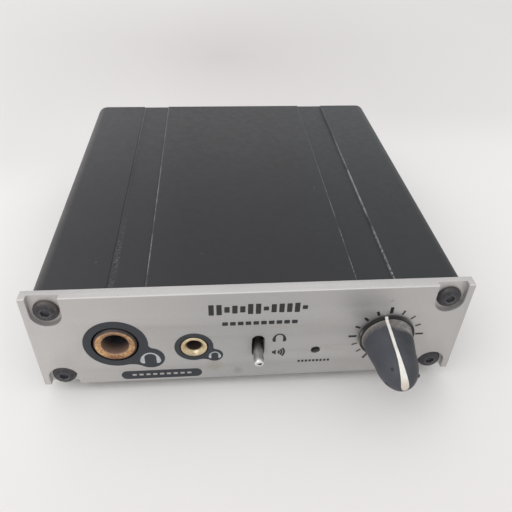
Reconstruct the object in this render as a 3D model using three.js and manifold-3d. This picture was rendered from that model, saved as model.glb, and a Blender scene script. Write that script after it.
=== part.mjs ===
// Desktop headphone amplifier: extruded case, front and rear panels, circuit board, jacks,
// toggle switch and volume knob. Millimetres, +Z up, front panel facing -Y.
// The origin is on the surface that the feet stand on, under the middle of the whole object.
import * as THREE from "three";
import { mergeVertices } from "three/addons/utils/BufferGeometryUtils.js";
import Module from "manifold-3d";

const wasm = await Module();
wasm.setup();

// ---- driving dimensions; x across, y back from the front panel's face, z up from its lower edge
const PANEL = { width: 104.5, height: 29.15, thick: 3.1 };
const CASE = { width: 101.4, depth: 102.4, corner: 3.6, side: 2, floor: 2.2, roof: 2.5 };
const CHANNEL = { inner: 24.6, outer: 33.3, depth: 0.6 };
const REAR = { width: 101.4, high: 28.1, thick: 2, corner: 3.6, screwHead: 2.5 };
const BOARD = { halfWidth: 43.7, front: 4, back: 104.4, low: 4.2, top: 5.8 };
const FOOT = { height: 3.4, radius: 6, x: 39, front: 14, back: 94 };
const SCREW = { x: 47.05, highZ: 24.65, lowZ: 2.8, head: 2.95, headHeight: 1.45, shank: 1.42, length: 8 };
const HEX = { radius: 1.15, depth: 1 };
const POCKET = { halfWidth: 3.55, depth: 1.45, highZ: 24.3, lowZ: 2.6 };
const PORT = { boss: 3.1, hole: 1.55 };
const BIG_JACK = { x: -33, z: 13.75, hole: 5.55, collar: 5.2, bore: 3.27, boreDepth: 22, proud: 0.45 };
const SMALL_JACK = { x: -14.3, z: 11.8, hole: 3.4, ring: 3.24, mouth: 2.25, bore: 1.8, boreDepth: 14 };
const SMALL_RING = { proud: 0.2, flareEnd: 0.7 };
const SLOT = { x: 1.45, z: 11.1, halfWidth: 1.55, halfHeight: 3.7 };
const TOGGLE = { pivotY: 5, tilt: 14, reach: 9.4, lever: 1.27, ball: 1.7, neck: 1.1 };
const TOGGLE_BUSHING = { bore: 2.1, outer: 2.9, front: 3.4 };
const TOGGLE_BODY = { halfWidth: 3.4, front: 8.2, back: 19, above: 5.2 };
const LED = { x: 16, z: 8.9, hole: 1.15, lens: 1.0, body: 1.5, flange: 3.4, back: 8 };
const LED_HOLDER = { halfWidth: 2.2, depth: 3, above: 2 };
const VOLUME = { x: 33.35, z: 13.35, hole: 3.7, bushing: 3.5, bushingBore: 3.08, shaft: 3 };
const POT = { half: 6, front: 7.2, back: 15.5, above: 6.1, bushingFront: 0.8 };
const SHAFT = { front: -9.3, back: 7.1, tipRadius: 2.6, chamfer: 0.4, play: 0.12 };
const KNOB = { reach: 16.4, foot: 0.95, shoulder: 8.2, footRadius: 6.2, domeRadius: 5.05, bulge: 0.1 };
const SKIRT = { radius: 6.95, front: 0.85, back: 0.3 };
const POINTER = { angle: 100, half: 0.36, tipHalf: 0.97, straight: 9, waist: 0.46, depth: 0.7, gap: 0.12 };
const POINTER_END = { middle: 0.9, length: 2 };
const RCA = { reach: 9, shell: 4.15, shellWall: 0.55, hole: 4.4, z: 15.5, rightX: -36, leftX: -22 };
const USB = { x: 0.5, width: 12, height: 11, depth: 16.5, openWidth: 8.5, openHeight: 7.8, socketDepth: 9 };
const POWER_JACK = { x: 36, width: 9, height: 11, depth: 14, bore: 3.2, pin: 1 };
const POWER_SWITCH = { x: 20.5, width: 9.4, height: 9, depth: 6, travel: 3 };
const SWITCH_SLOT = { halfWidth: 4.1, halfHeight: 1.7, depth: 3, corner: 0.4 };

const caseBack = PANEL.thick + CASE.depth;
const rearFace = caseBack + REAR.thick;
const jackFront = PANEL.thick + 0.2;
const powerJackZ = BOARD.top + POWER_JACK.height / 2;
const powerSwitchZ = BOARD.top + POWER_SWITCH.height / 2;
const usbZ = BOARD.top + USB.height / 2;

// ---- materials
const finish = (colour, roughness, metalness = 0) =>
  new THREE.MeshStandardMaterial({ color: colour, roughness, metalness });
const ALUMINIUM = finish(0xa8a5a2, 0.42, 0.85);
const BLACK_ALUMINIUM = finish(0x2c2d2f, 0.6, 0.4);
const BLACK_STEEL = finish(0x1d1d1f, 0.45, 0.6);
const BLACK_PLASTIC = finish(0x18191b, 0.5);
const SOFT_BLACK = finish(0x2b2b2c, 0.75);
const RUBBER = finish(0x1a1a1a, 0.9);
const COPPER = finish(0xb98150, 0.35, 1);
const GOLD = finish(0xd9b866, 0.25, 1);
const CHROME = finish(0xcfd0d2, 0.15, 1);
const STEEL = finish(0xb0b2b4, 0.35, 1);
const WHITE_PLASTIC = finish(0xe8e5de, 0.45);
const RED_PLASTIC = finish(0xa32222, 0.45);
const BOARD_GREEN = finish(0x1f5a38, 0.55);
const CHIP_BLACK = finish(0x202123, 0.6);
const LED_LENS = finish(0x4a524c, 0.25);
const CAPACITOR_SLEEVE = finish(0x1c2b52, 0.4);

// ---- closed solids from three.js geometry
function solid(geometry) {
  const bare = geometry.index ? geometry.toNonIndexed() : geometry.clone();
  bare.deleteAttribute("normal");
  bare.deleteAttribute("uv");
  const merged = mergeVertices(bare, 1e-4);
  const vertProperties = new Float32Array(merged.attributes.position.array);
  const triVerts = new Uint32Array(merged.index.array);
  return new wasm.Manifold(new wasm.Mesh({ numProp: 3, vertProperties, triVerts }));
}

function block(x0, x1, y0, y1, z0, z1) {
  const geometry = new THREE.BoxGeometry(x1 - x0, y1 - y0, z1 - z0);
  return solid(geometry.translate((x0 + x1) / 2, (y0 + y1) / 2, (z0 + z1) / 2));
}

// An outline drawn in x and z, carried from y0 back to y1.
function prism(outline, y0, y1, curveSegments = 5) {
  const depth = y1 - y0;
  const geometry = new THREE.ExtrudeGeometry(outline, { depth, bevelEnabled: false, curveSegments });
  return solid(geometry.rotateX(Math.PI / 2).translate(0, y1, 0));
}

// A profile of [radius, y] points, turned about the y axis; it runs from low y to high y.
function turned(profile, segments = 24) {
  return solid(new THREE.LatheGeometry(profile.map(([r, y]) => new THREE.Vector2(r, y)), segments));
}

// A profile of [radius, z] points, turned about the z axis; it runs from low z to high z.
function standing(profile, segments = 24) {
  const points = profile.map(([r, z]) => new THREE.Vector2(r, z));
  return solid(new THREE.LatheGeometry(points, segments).rotateX(Math.PI / 2));
}

function rod(x, z, radius, y0, y1, segments = 24) {
  const geometry = new THREE.CylinderGeometry(radius, radius, y1 - y0, segments);
  return solid(geometry.translate(x, (y0 + y1) / 2, z));
}

function tube(outer, inner, y0, y1, segments = 24) {
  return turned([[inner, y0], [outer, y0], [outer, y1], [inner, y1], [inner, y0]], segments);
}

function circle(path, x, z, radius) {
  path.moveTo(x + radius, z);
  path.absarc(x, z, radius, 0, Math.PI, false);
  path.absarc(x, z, radius, Math.PI, 2 * Math.PI, false);
  return path;
}

function roundedRectangle(path, x0, x1, z0, z1, radius) {
  path.moveTo(x0 + radius, z0);
  path.lineTo(x1 - radius, z0);
  path.absarc(x1 - radius, z0 + radius, radius, -Math.PI / 2, 0, false);
  path.lineTo(x1, z1 - radius);
  path.absarc(x1 - radius, z1 - radius, radius, 0, Math.PI / 2, false);
  path.lineTo(x0 + radius, z1);
  path.absarc(x0 + radius, z1 - radius, radius, Math.PI / 2, Math.PI, false);
  path.lineTo(x0, z0 + radius);
  path.absarc(x0 + radius, z0 + radius, radius, Math.PI, 1.5 * Math.PI, false);
  return path;
}

function meshOf(name, shape, material) {
  const { vertProperties, triVerts } = shape.getMesh();
  const geometry = new THREE.BufferGeometry();
  geometry.setAttribute("position", new THREE.BufferAttribute(vertProperties, 3));
  geometry.setIndex(new THREE.BufferAttribute(triVerts, 1));
  geometry.computeVertexNormals();
  const mesh = new THREE.Mesh(geometry, material);
  mesh.name = name;
  return mesh;
}

// An upright slot with round ends.
function uprightSlot(path, x, z, halfWidth, halfHeight) {
  const straight = halfHeight - halfWidth;
  path.moveTo(x + halfWidth, z - straight);
  path.lineTo(x + halfWidth, z + straight);
  path.absarc(x, z + straight, halfWidth, 0, Math.PI, false);
  path.lineTo(x - halfWidth, z - straight);
  path.absarc(x, z - straight, halfWidth, Math.PI, 2 * Math.PI, false);
  return path;
}

// The four corners, as [word, side, screw height].
const CORNERS = [
  ["upper_left", -1, SCREW.highZ],
  ["upper_right", 1, SCREW.highZ],
  ["lower_left", -1, SCREW.lowZ],
  ["lower_right", 1, SCREW.lowZ],
];

// ---- enclosure
function caseOutline() {
  const half = CASE.width / 2;
  const r = CASE.corner;
  const top = PANEL.height;
  const channelFloor = top - CHANNEL.depth;
  const shape = new THREE.Shape();
  shape.moveTo(-half + r, 0);
  shape.lineTo(half - r, 0);
  shape.absarc(half - r, r, r, -Math.PI / 2, 0, false);
  shape.lineTo(half, top - r);
  shape.absarc(half - r, top - r, r, 0, Math.PI / 2, false);
  for (const side of [1, -1]) {
    const first = side > 0 ? CHANNEL.outer : CHANNEL.inner;
    const second = side > 0 ? CHANNEL.inner : CHANNEL.outer;
    shape.lineTo(side * first, top);
    shape.lineTo(side * first, channelFloor);
    shape.lineTo(side * second, channelFloor);
    shape.lineTo(side * second, top);
  }
  shape.lineTo(-half + r, top);
  shape.absarc(-half + r, top - r, r, Math.PI / 2, Math.PI, false);
  shape.lineTo(-half, r);
  shape.absarc(-half + r, r, r, Math.PI, 1.5 * Math.PI, false);
  return shape;
}

// Half of the bore from the floor up to the roof: board groove, side wall, upper screw boss.
function boreSide() {
  const wall = CASE.width / 2 - CASE.side;
  const rail = BOARD.halfWidth - 1.7;
  const groove = BOARD.halfWidth + 0.3;
  const boss = SCREW.x - PORT.boss;
  return [
    [rail, CASE.floor],
    [rail, BOARD.low],
    [groove, BOARD.low],
    [groove, BOARD.top + 0.1],
    [rail, BOARD.top + 0.1],
    [rail, BOARD.top + 1.5],
    [wall, BOARD.top + 1.5],
    [wall, SCREW.highZ - PORT.boss],
    [boss, SCREW.highZ - PORT.boss],
    [boss, PANEL.height - CASE.roof],
  ];
}

function caseSleeve() {
  const shape = caseOutline();
  const right = boreSide();
  const left = right.map(([x, z]) => [-x, z]).reverse();
  shape.holes.push(new THREE.Path([...right, ...left].map(([x, z]) => new THREE.Vector2(x, z))));
  for (const [, side, z] of CORNERS) {
    shape.holes.push(circle(new THREE.Path(), side * SCREW.x, z, PORT.hole));
  }
  return prism(shape, PANEL.thick, caseBack);
}

// The pocket for a corner screw: half round towards the middle, open at the panel's edge.
function cornerPocket(side, upper) {
  const x = side * SCREW.x;
  const w = POCKET.halfWidth;
  const beyond = upper ? PANEL.height + 1 : -1;
  const z = upper ? POCKET.highZ : POCKET.lowZ;
  const shape = new THREE.Shape();
  shape.moveTo(x - w, beyond);
  shape.lineTo(x - w, z);
  shape.absarc(x, z, w, Math.PI, upper ? 2 * Math.PI : 0, !upper);
  shape.lineTo(x + w, beyond);
  return prism(shape, -1, POCKET.depth);
}

function frontPanel() {
  const half = PANEL.width / 2;
  const shape = new THREE.Shape();
  shape.moveTo(-half, 0);
  shape.lineTo(half, 0);
  shape.lineTo(half, PANEL.height);
  shape.lineTo(-half, PANEL.height);
  const holes = [BIG_JACK, SMALL_JACK, LED, VOLUME];
  shape.holes = holes.map((at) => circle(new THREE.Path(), at.x, at.z, at.hole));
  shape.holes.push(uprightSlot(new THREE.Path(), SLOT.x, SLOT.z, SLOT.halfWidth, SLOT.halfHeight));
  for (const [, side, z] of CORNERS) {
    shape.holes.push(circle(new THREE.Path(), side * SCREW.x, z, PORT.hole + 0.15));
  }
  let panel = prism(shape, 0, PANEL.thick);
  for (const side of [-1, 1]) {
    panel = panel.subtract(cornerPocket(side, true)).subtract(cornerPocket(side, false));
  }
  return panel;
}

function rearPanel() {
  const half = REAR.width / 2;
  const shape = roundedRectangle(new THREE.Shape(), -half, half, 0, REAR.high, REAR.corner);
  for (const x of [RCA.leftX, RCA.rightX]) {
    shape.holes.push(circle(new THREE.Path(), x, RCA.z, RCA.hole));
  }
  const usbHalf = USB.width / 2 + 0.2;
  const usbSpan = [USB.x - usbHalf, USB.x + usbHalf, BOARD.top - 0.2, BOARD.top + USB.height + 0.2];
  shape.holes.push(roundedRectangle(new THREE.Path(), ...usbSpan, 0.3));
  shape.holes.push(circle(new THREE.Path(), POWER_JACK.x, powerJackZ, POWER_JACK.bore + 0.5));
  const { halfWidth, halfHeight, corner } = SWITCH_SLOT;
  const left = POWER_SWITCH.x - halfWidth;
  const right = POWER_SWITCH.x + halfWidth;
  const switchSpan = [left, right, powerSwitchZ - halfHeight, powerSwitchZ + halfHeight];
  shape.holes.push(roundedRectangle(new THREE.Path(), ...switchSpan, corner));
  for (const [, side, z] of CORNERS) {
    shape.holes.push(circle(new THREE.Path(), side * SCREW.x, z, PORT.hole + 0.1));
  }
  return prism(shape, caseBack, rearFace);
}

// Button-head screw with a hex socket, head towards -y, seated on the plane y = 0.
function buttonScrew(headRadius) {
  const h = SCREW.headHeight;
  const profile = [
    [0, -h],
    [0.53 * headRadius, -h],
    [0.82 * headRadius, -0.75 * h],
    [headRadius, -0.25 * h],
    [headRadius, 0],
    [SCREW.shank, 0],
    [SCREW.shank, SCREW.length],
    [0, SCREW.length],
  ];
  const socket = new THREE.CylinderGeometry(HEX.radius, HEX.radius, 2 * HEX.depth, 6).translate(0, -h, 0);
  return turned(profile, 18).subtract(solid(socket));
}

function foot() {
  const { radius, height } = FOOT;
  return standing([[0, 0], [radius - 0.7, 0], [radius, 0.8], [radius, height], [0, height]]);
}

// ---- jacks, switch and lamp behind the front panel
function jackBody(at, halfWidth, top, back) {
  const body = block(at.x - halfWidth, at.x + halfWidth, jackFront, back, BOARD.top, top);
  return body.subtract(rod(at.x, at.z, at.bore, jackFront - 1, at.boreDepth));
}

function bigJackCollar() {
  const { collar, bore, proud } = BIG_JACK;
  const dish = 0.5;
  const profile = [
    [bore, 0],
    [bore + dish, -proud],
    [collar, -proud],
    [collar, jackFront],
    [bore, jackFront],
    [bore, 0],
  ];
  return turned(profile, 32);
}

function smallJackRing() {
  const { ring, mouth, bore } = SMALL_JACK;
  const { proud, flareEnd } = SMALL_RING;
  const profile = [
    [mouth, -proud],
    [ring, -proud],
    [ring, jackFront],
    [bore, jackFront],
    [bore, flareEnd],
    [mouth, -proud],
  ];
  return turned(profile, 28);
}

function toggleBody() {
  const { halfWidth, front, back, above } = TOGGLE_BODY;
  return block(SLOT.x - halfWidth, SLOT.x + halfWidth, front, back, BOARD.top, SLOT.z + above);
}

function toggleBushing() {
  return tube(TOGGLE_BUSHING.outer, TOGGLE_BUSHING.bore, TOGGLE_BUSHING.front, TOGGLE_BODY.front);
}

// Lever lying along -y from the ball at the origin to its rounded tip.
function toggleLever() {
  const tip = TOGGLE.reach;
  const r = TOGGLE.lever;
  const ball = TOGGLE.ball;
  const neck = TOGGLE.neck;
  const neckOnBall = Math.sqrt(ball * ball - neck * neck);
  const tipArc = [0, 30, 60, 90].map((degrees) => {
    const a = THREE.MathUtils.degToRad(degrees);
    return [r * Math.sin(a), -tip + r - r * Math.cos(a)];
  });
  const ballArc = [35, 65, 90, 120, 150, 180].map((degrees) => {
    const a = THREE.MathUtils.degToRad(degrees);
    return [ball * Math.sin(a), -ball * Math.cos(a)];
  });
  ballArc[0] = [neck, -neckOnBall];
  ballArc[ballArc.length - 1][0] = 0;
  return turned([...tipArc, [r, -4.4], [neck, -3.2], ...ballArc], 20);
}

function indicatorLed() {
  const { lens, body, flange, back } = LED;
  const dome = [[0, 0.9], [0.6, 1], [lens, 1.6]];
  return turned([...dome, [lens, flange], [body, flange], [body, back], [0, back]], 20);
}

function ledHolder() {
  const { halfWidth, depth, above } = LED_HOLDER;
  return block(LED.x - halfWidth, LED.x + halfWidth, LED.back, LED.back + depth, BOARD.top, LED.z + above);
}

// ---- volume control
function potBody() {
  const { half, front, back, above } = POT;
  return block(VOLUME.x - half, VOLUME.x + half, front, back, BOARD.top, VOLUME.z + above);
}

function potBushing() {
  return tube(VOLUME.bushing, VOLUME.bushingBore, POT.bushingFront, POT.front, 32);
}

function potShaft() {
  const { front, back, tipRadius, chamfer } = SHAFT;
  const radius = VOLUME.shaft;
  return turned([[0, front], [tipRadius, front], [radius, front + chamfer], [radius, back], [0, back]], 32);
}

// Points of the knob's dome and side, tip first, [radius, y], inset by a wall.
function bulletProfile(inset) {
  const { reach, foot, shoulder, footRadius, domeRadius, bulge } = KNOB;
  const points = [];
  const domeSteps = 9;
  for (let i = 0; i <= domeSteps; i++) {
    const a = (i / domeSteps) * (Math.PI / 2);
    const r = (domeRadius - inset) * Math.sin(a);
    points.push([r, -shoulder - (reach - shoulder - inset) * Math.cos(a)]);
  }
  for (const t of [0.66, 0.33, 0]) {
    const r = THREE.MathUtils.lerp(footRadius, domeRadius, t) + bulge * 4 * t * (1 - t);
    points.push([r - inset, -THREE.MathUtils.lerp(foot, shoulder, t)]);
  }
  return points;
}

// The knob's outer form, down to a thin skirt at its foot.
function knobForm() {
  const skirt = [
    [SKIRT.radius, -SKIRT.front],
    [SKIRT.radius, -SKIRT.back],
    [0, -SKIRT.back],
  ];
  return turned([...bulletProfile(0), ...skirt], 40);
}

// What lies under the inlay: the dome and side moved inwards, without the skirt.
function knobCore(depth) {
  return turned([...bulletProfile(depth), [KNOB.footRadius - depth, 0], [0, 0]], 40);
}

// The pointer's outline in plan, grown by a margin, rounded where it ends below the knob's tip.
function pointerCutter(margin) {
  const half = POINTER.half + margin;
  const tipHalf = POINTER.tipHalf + margin;
  const waist = POINTER.waist + margin;
  const { straight } = POINTER;
  const { reach } = KNOB;
  const bend = reach - 2.4;
  const above = 9;
  const plan = new THREE.Shape();
  plan.moveTo(-half, 0);
  plan.lineTo(-half, straight);
  plan.quadraticCurveTo(-waist, bend, -tipHalf, reach);
  plan.lineTo(-tipHalf, reach + 1);
  plan.lineTo(tipHalf, reach + 1);
  plan.lineTo(tipHalf, reach);
  plan.quadraticCurveTo(waist, bend, half, straight);
  plan.lineTo(half, 0);
  const depth = 2 * above;
  const geometry = new THREE.ExtrudeGeometry(plan, { depth, bevelEnabled: false, curveSegments: 6 });
  const stem = solid(geometry.translate(0, 0, -above).rotateZ(Math.PI));
  const end = new THREE.Shape();
  const { middle, length } = POINTER_END;
  end.moveTo(-tipHalf, above);
  end.lineTo(-tipHalf, middle);
  end.absellipse(0, middle, tipHalf, length + margin, Math.PI, 2 * Math.PI, false);
  end.lineTo(tipHalf, above);
  return stem.intersect(prism(end, -reach - 2, 0, 12));
}

function knobBody() {
  const hubRadius = VOLUME.shaft + SHAFT.play;
  const hubEnd = SHAFT.front - 0.5;
  const hub = [[0, hubEnd], [hubRadius, hubEnd], [hubRadius, 0], [0, 0]];
  const groove = pointerCutter(POINTER.gap).subtract(knobCore(POINTER.depth + POINTER.gap));
  return knobForm().subtract(turned(hub, 32)).subtract(groove);
}

function knobPointer() {
  return knobForm().intersect(pointerCutter(0)).subtract(knobCore(POINTER.depth));
}

// ---- connectors on the back; the phono jacks are made about their own axes, from the case's end
const phonoFloor = REAR.thick + 0.6;

function rcaShell() {
  const { shell, shellWall, reach } = RCA;
  const inner = shell - shellWall;
  const end = REAR.thick + reach;
  return turned([[0, 0], [shell, 0], [shell, end], [inner, end], [inner, phonoFloor], [0, phonoFloor]]);
}

function rcaInsert() {
  const inner = RCA.shell - RCA.shellWall - 0.05;
  const end = REAR.thick + RCA.reach - 0.8;
  const contact = 1.65;
  const profile = [
    [0, phonoFloor],
    [inner, phonoFloor],
    [inner, end],
    [contact, end],
    [contact, phonoFloor + 1.5],
    [0, phonoFloor + 1.5],
  ];
  return turned(profile, 20);
}

function rcaHousing() {
  const middle = (RCA.leftX + RCA.rightX) / 2;
  return block(middle - 12.5, middle + 12.5, caseBack - 11, caseBack, BOARD.top, RCA.z + 6);
}

function usbShell() {
  const half = USB.width / 2;
  const end = rearFace + 0.4;
  const body = block(USB.x - half, USB.x + half, end - USB.depth, end, BOARD.top, BOARD.top + USB.height);
  const w = USB.openWidth / 2;
  const low = usbZ - USB.openHeight / 2;
  const high = usbZ + USB.openHeight / 2;
  const cut = 1.8;
  const shape = new THREE.Shape();
  shape.moveTo(USB.x - w, low);
  shape.lineTo(USB.x + w, low);
  shape.lineTo(USB.x + w, high - cut);
  shape.lineTo(USB.x + w - cut, high);
  shape.lineTo(USB.x - w + cut, high);
  shape.lineTo(USB.x - w, high - cut);
  return body.subtract(prism(shape, rearFace - USB.socketDepth, rearFace + 2));
}

function usbTongue() {
  const front = rearFace - USB.socketDepth;
  return block(USB.x - 2.8, USB.x + 2.8, front, rearFace - 0.8, usbZ - 1.6, usbZ + 1.6);
}

function powerJack() {
  const { x, width, height, depth, bore } = POWER_JACK;
  const half = width / 2;
  const body = block(x - half, x + half, caseBack - depth, caseBack, BOARD.top, BOARD.top + height);
  const collar = rod(x, powerJackZ, bore + 0.3, caseBack - 1, rearFace + 0.3, 28);
  return body.add(collar).subtract(rod(x, powerJackZ, bore, caseBack - 8, rearFace + 2, 28));
}

function powerJackPin() {
  const { pin } = POWER_JACK;
  const end = REAR.thick - 0.4;
  return turned([[0, -8], [pin, -8], [pin, end - 0.5], [0.5, end], [0, end]], 16);
}

function powerSwitchBody() {
  const { x, width, depth, height } = POWER_SWITCH;
  const { halfWidth, halfHeight } = SWITCH_SLOT;
  const half = width / 2;
  const body = block(x - half, x + half, caseBack - depth, caseBack, BOARD.top, BOARD.top + height);
  const low = powerSwitchZ - halfHeight;
  const high = powerSwitchZ + halfHeight;
  const recess = caseBack - SWITCH_SLOT.depth;
  return body.subtract(block(x - halfWidth, x + halfWidth, recess, caseBack + 1, low, high));
}

function powerSwitchSlider() {
  const { halfWidth, halfHeight, depth } = SWITCH_SLOT;
  const play = 0.3;
  const width = 2 * (halfWidth - play) - POWER_SWITCH.travel;
  const left = POWER_SWITCH.x - halfWidth + play;
  const halfTall = halfHeight - 0.2;
  const inner = caseBack - depth + 0.2;
  const grip = rearFace + 1.8;
  return block(left, left + width, inner, grip, powerSwitchZ - halfTall, powerSwitchZ + halfTall);
}

// ---- parts on the board, each made about the middle of its own foot
function electrolytic(radius, height) {
  const waist = radius - 0.35;
  const profile = [
    [0, 0],
    [radius, 0],
    [radius, 1],
    [waist, 1.5],
    [radius, 2],
    [radius, height - 0.4],
    [waist, height],
    [0, height],
  ];
  return standing(profile, 18);
}

function inductor() {
  return standing([[0, 0], [5, 0], [5, 1], [4, 1.6], [4, 5], [5, 5.6], [5, 6.6], [0, 6.6]], 20);
}

function brick(width, depth, height) {
  return block(-width / 2, width / 2, -depth / 2, depth / 2, 0, height);
}

function regulator() {
  return brick(10, 4.4, 9).add(block(-5, 5, 0.9, 2.2, 8.8, 14));
}

// A finned plate standing behind the regulator's tab.
function heatSink() {
  let sink = block(-8, 8, 2.3, 4.3, 0, 17);
  for (const x of [-7.2, -3.6, 0, 3.6, 7.2]) {
    sink = sink.add(block(x - 0.6, x + 0.6, 4.2, 11, 0, 17));
  }
  return sink;
}

function mainBoard() {
  const { halfWidth, front, back, low, top } = BOARD;
  return block(-halfWidth, halfWidth, front, back, low, top);
}

// ---- the assembly
const amplifier = new THREE.Group();
const frontToMiddle = (rearFace + RCA.reach - KNOB.reach) / 2;
amplifier.position.set(0, -frontToMiddle, FOOT.height);

function place(name, shape, material, x = 0, y = 0, z = 0) {
  const mesh = meshOf(name, shape, material);
  mesh.position.set(x, y, z);
  amplifier.add(mesh);
  return mesh;
}

place("case_sleeve", caseSleeve(), BLACK_ALUMINIUM);
place("front_panel", frontPanel(), ALUMINIUM);
place("rear_panel", rearPanel(), BLACK_ALUMINIUM);
place("main_board", mainBoard(), BOARD_GREEN);

for (const [word, side, z] of CORNERS) {
  const x = side * SCREW.x;
  place(`front_screw_${word}`, buttonScrew(SCREW.head), BLACK_STEEL, x, POCKET.depth, z);
  const rear = place(`rear_screw_${word}`, buttonScrew(REAR.screwHead), BLACK_STEEL, x, rearFace, z);
  rear.rotation.z = Math.PI;
}

for (const [word, side] of [["left", -1], ["right", 1]]) {
  place(`foot_front_${word}`, foot(), RUBBER, side * FOOT.x, FOOT.front, -FOOT.height);
  place(`foot_back_${word}`, foot(), RUBBER, side * FOOT.x, FOOT.back, -FOOT.height);
}

place("phone_jack_large_body", jackBody(BIG_JACK, 8.2, 21.7, 26), BLACK_PLASTIC);
place("phone_jack_large_collar", bigJackCollar(), COPPER, BIG_JACK.x, 0, BIG_JACK.z);
place("phone_jack_small_body", jackBody(SMALL_JACK, 4.5, 16.2, 16), BLACK_PLASTIC);
place("phone_jack_small_ring", smallJackRing(), GOLD, SMALL_JACK.x, 0, SMALL_JACK.z);

place("toggle_switch_body", toggleBody(), BLACK_PLASTIC);
place("toggle_switch_bushing", toggleBushing(), STEEL, SLOT.x, 0, SLOT.z);
const lever = place("toggle_lever", toggleLever(), CHROME, SLOT.x, TOGGLE.pivotY, SLOT.z);
lever.rotation.x = THREE.MathUtils.degToRad(TOGGLE.tilt);

place("indicator_led", indicatorLed(), LED_LENS, LED.x, 0, LED.z);
place("led_holder", ledHolder(), BLACK_PLASTIC);

place("volume_pot_body", potBody(), BLACK_PLASTIC);
place("volume_pot_bushing", potBushing(), STEEL, VOLUME.x, 0, VOLUME.z);
const knobPieces = [
  ["volume_pot_shaft", potShaft(), STEEL],
  ["knob_body", knobBody(), SOFT_BLACK],
  ["knob_pointer", knobPointer(), WHITE_PLASTIC],
];
for (const [name, shape, material] of knobPieces) {
  const piece = place(name, shape, material, VOLUME.x, 0, VOLUME.z);
  piece.rotation.y = THREE.MathUtils.degToRad(90 - POINTER.angle);
}

place("rca_housing", rcaHousing(), BLACK_PLASTIC);
for (const [word, x, colour] of [["left", RCA.leftX, WHITE_PLASTIC], ["right", RCA.rightX, RED_PLASTIC]]) {
  place(`rca_${word}_shell`, rcaShell(), STEEL, x, caseBack, RCA.z);
  place(`rca_${word}_insert`, rcaInsert(), colour, x, caseBack, RCA.z);
}
place("usb_socket_shell", usbShell(), STEEL);
place("usb_socket_tongue", usbTongue(), WHITE_PLASTIC);
place("power_jack_body", powerJack(), BLACK_PLASTIC);
place("power_jack_pin", powerJackPin(), CHROME, POWER_JACK.x, caseBack, powerJackZ);
place("power_switch_body", powerSwitchBody(), BLACK_PLASTIC);
place("power_switch_slider", powerSwitchSlider(), BLACK_PLASTIC);

for (const [word, x] of [["left", -18], ["right", -3]]) {
  place(`op_amp_socket_${word}`, brick(8, 10.4, 4), BLACK_PLASTIC, x, 36, BOARD.top);
  place(`op_amp_chip_${word}`, brick(6.4, 9.6, 3.4), CHIP_BLACK, x, 36, BOARD.top + 4);
}
place("output_relay", brick(10, 15, 10.5), WHITE_PLASTIC, 13, 36, BOARD.top);
place("usb_receiver_chip", brick(10, 10, 1.4), CHIP_BLACK, 0.5, 74, BOARD.top);
place("converter_chip", brick(10.2, 5.3, 1.8), CHIP_BLACK, -14, 60, BOARD.top);
place("crystal", brick(11, 4.6, 3.6), STEEL, 14, 78, BOARD.top);
place("inductor", inductor(), CHIP_BLACK, 34, 62, BOARD.top);
place("regulator", regulator(), CHIP_BLACK, -32, 76, BOARD.top);
place("heat_sink", heatSink(), STEEL, -32, 76, BOARD.top);

const capacitors = [
  [-34, 40, 5, 16],
  [-34, 54, 5, 16],
  [28, 34, 5, 13],
  [28, 47, 5, 13],
  [22, 60, 4, 11],
];
capacitors.forEach(([x, y, radius, height], i) => {
  place(`smoothing_capacitor_${i + 1}`, electrolytic(radius, height), CAPACITOR_SLEEVE, x, y, BOARD.top);
});

export default amplifier;
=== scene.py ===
import math
from math import cos, pi, radians, sin, sqrt, tau
from types import SimpleNamespace

import bmesh
import bpy
from mathutils import Matrix, Vector
from mathutils.geometry import tessellate_polygon


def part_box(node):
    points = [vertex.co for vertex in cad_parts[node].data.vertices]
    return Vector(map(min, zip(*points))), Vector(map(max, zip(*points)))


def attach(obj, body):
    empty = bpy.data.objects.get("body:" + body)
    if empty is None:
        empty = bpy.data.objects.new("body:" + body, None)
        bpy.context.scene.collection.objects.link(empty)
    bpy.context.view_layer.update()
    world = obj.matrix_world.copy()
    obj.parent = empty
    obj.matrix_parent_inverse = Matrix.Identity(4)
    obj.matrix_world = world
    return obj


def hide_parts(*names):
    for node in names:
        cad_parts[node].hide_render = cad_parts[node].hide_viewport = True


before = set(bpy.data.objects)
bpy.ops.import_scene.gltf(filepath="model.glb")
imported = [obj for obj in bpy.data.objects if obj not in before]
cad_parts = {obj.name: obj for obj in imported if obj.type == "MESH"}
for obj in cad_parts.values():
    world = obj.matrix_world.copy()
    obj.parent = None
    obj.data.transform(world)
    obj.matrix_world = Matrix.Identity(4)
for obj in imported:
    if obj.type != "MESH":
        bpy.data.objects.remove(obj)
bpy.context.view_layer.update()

MM = 0.001
PANEL_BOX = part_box("front_panel")
ORIGIN = Vector((0, PANEL_BOX[0].y, PANEL_BOX[0].z))
TO_ROW = Matrix.Translation(ORIGIN) @ Matrix.Scale(MM, 4)


def span(node):
    """A CAD node's box in panel millimetres, with its middle."""
    a, b = ((corner - ORIGIN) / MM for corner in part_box(node))
    middle = (a + b) / 2
    return SimpleNamespace(
        x0=a.x, x1=b.x, y0=a.y, y1=b.y, z0=a.z, z1=b.z, x=middle.x, y=middle.y, z=middle.z
    )


PANEL = span("front_panel")
CASE = span("case_sleeve")
REAR = span("rear_panel")
BOARD = span("main_board")
BIG_JACK = span("phone_jack_large_collar")
SMALL_JACK = span("phone_jack_small_ring")
DIAL = span("volume_pot_bushing")
SLOT_MIDDLE = span("toggle_switch_bushing")
LAMP = span("indicator_led")

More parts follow.
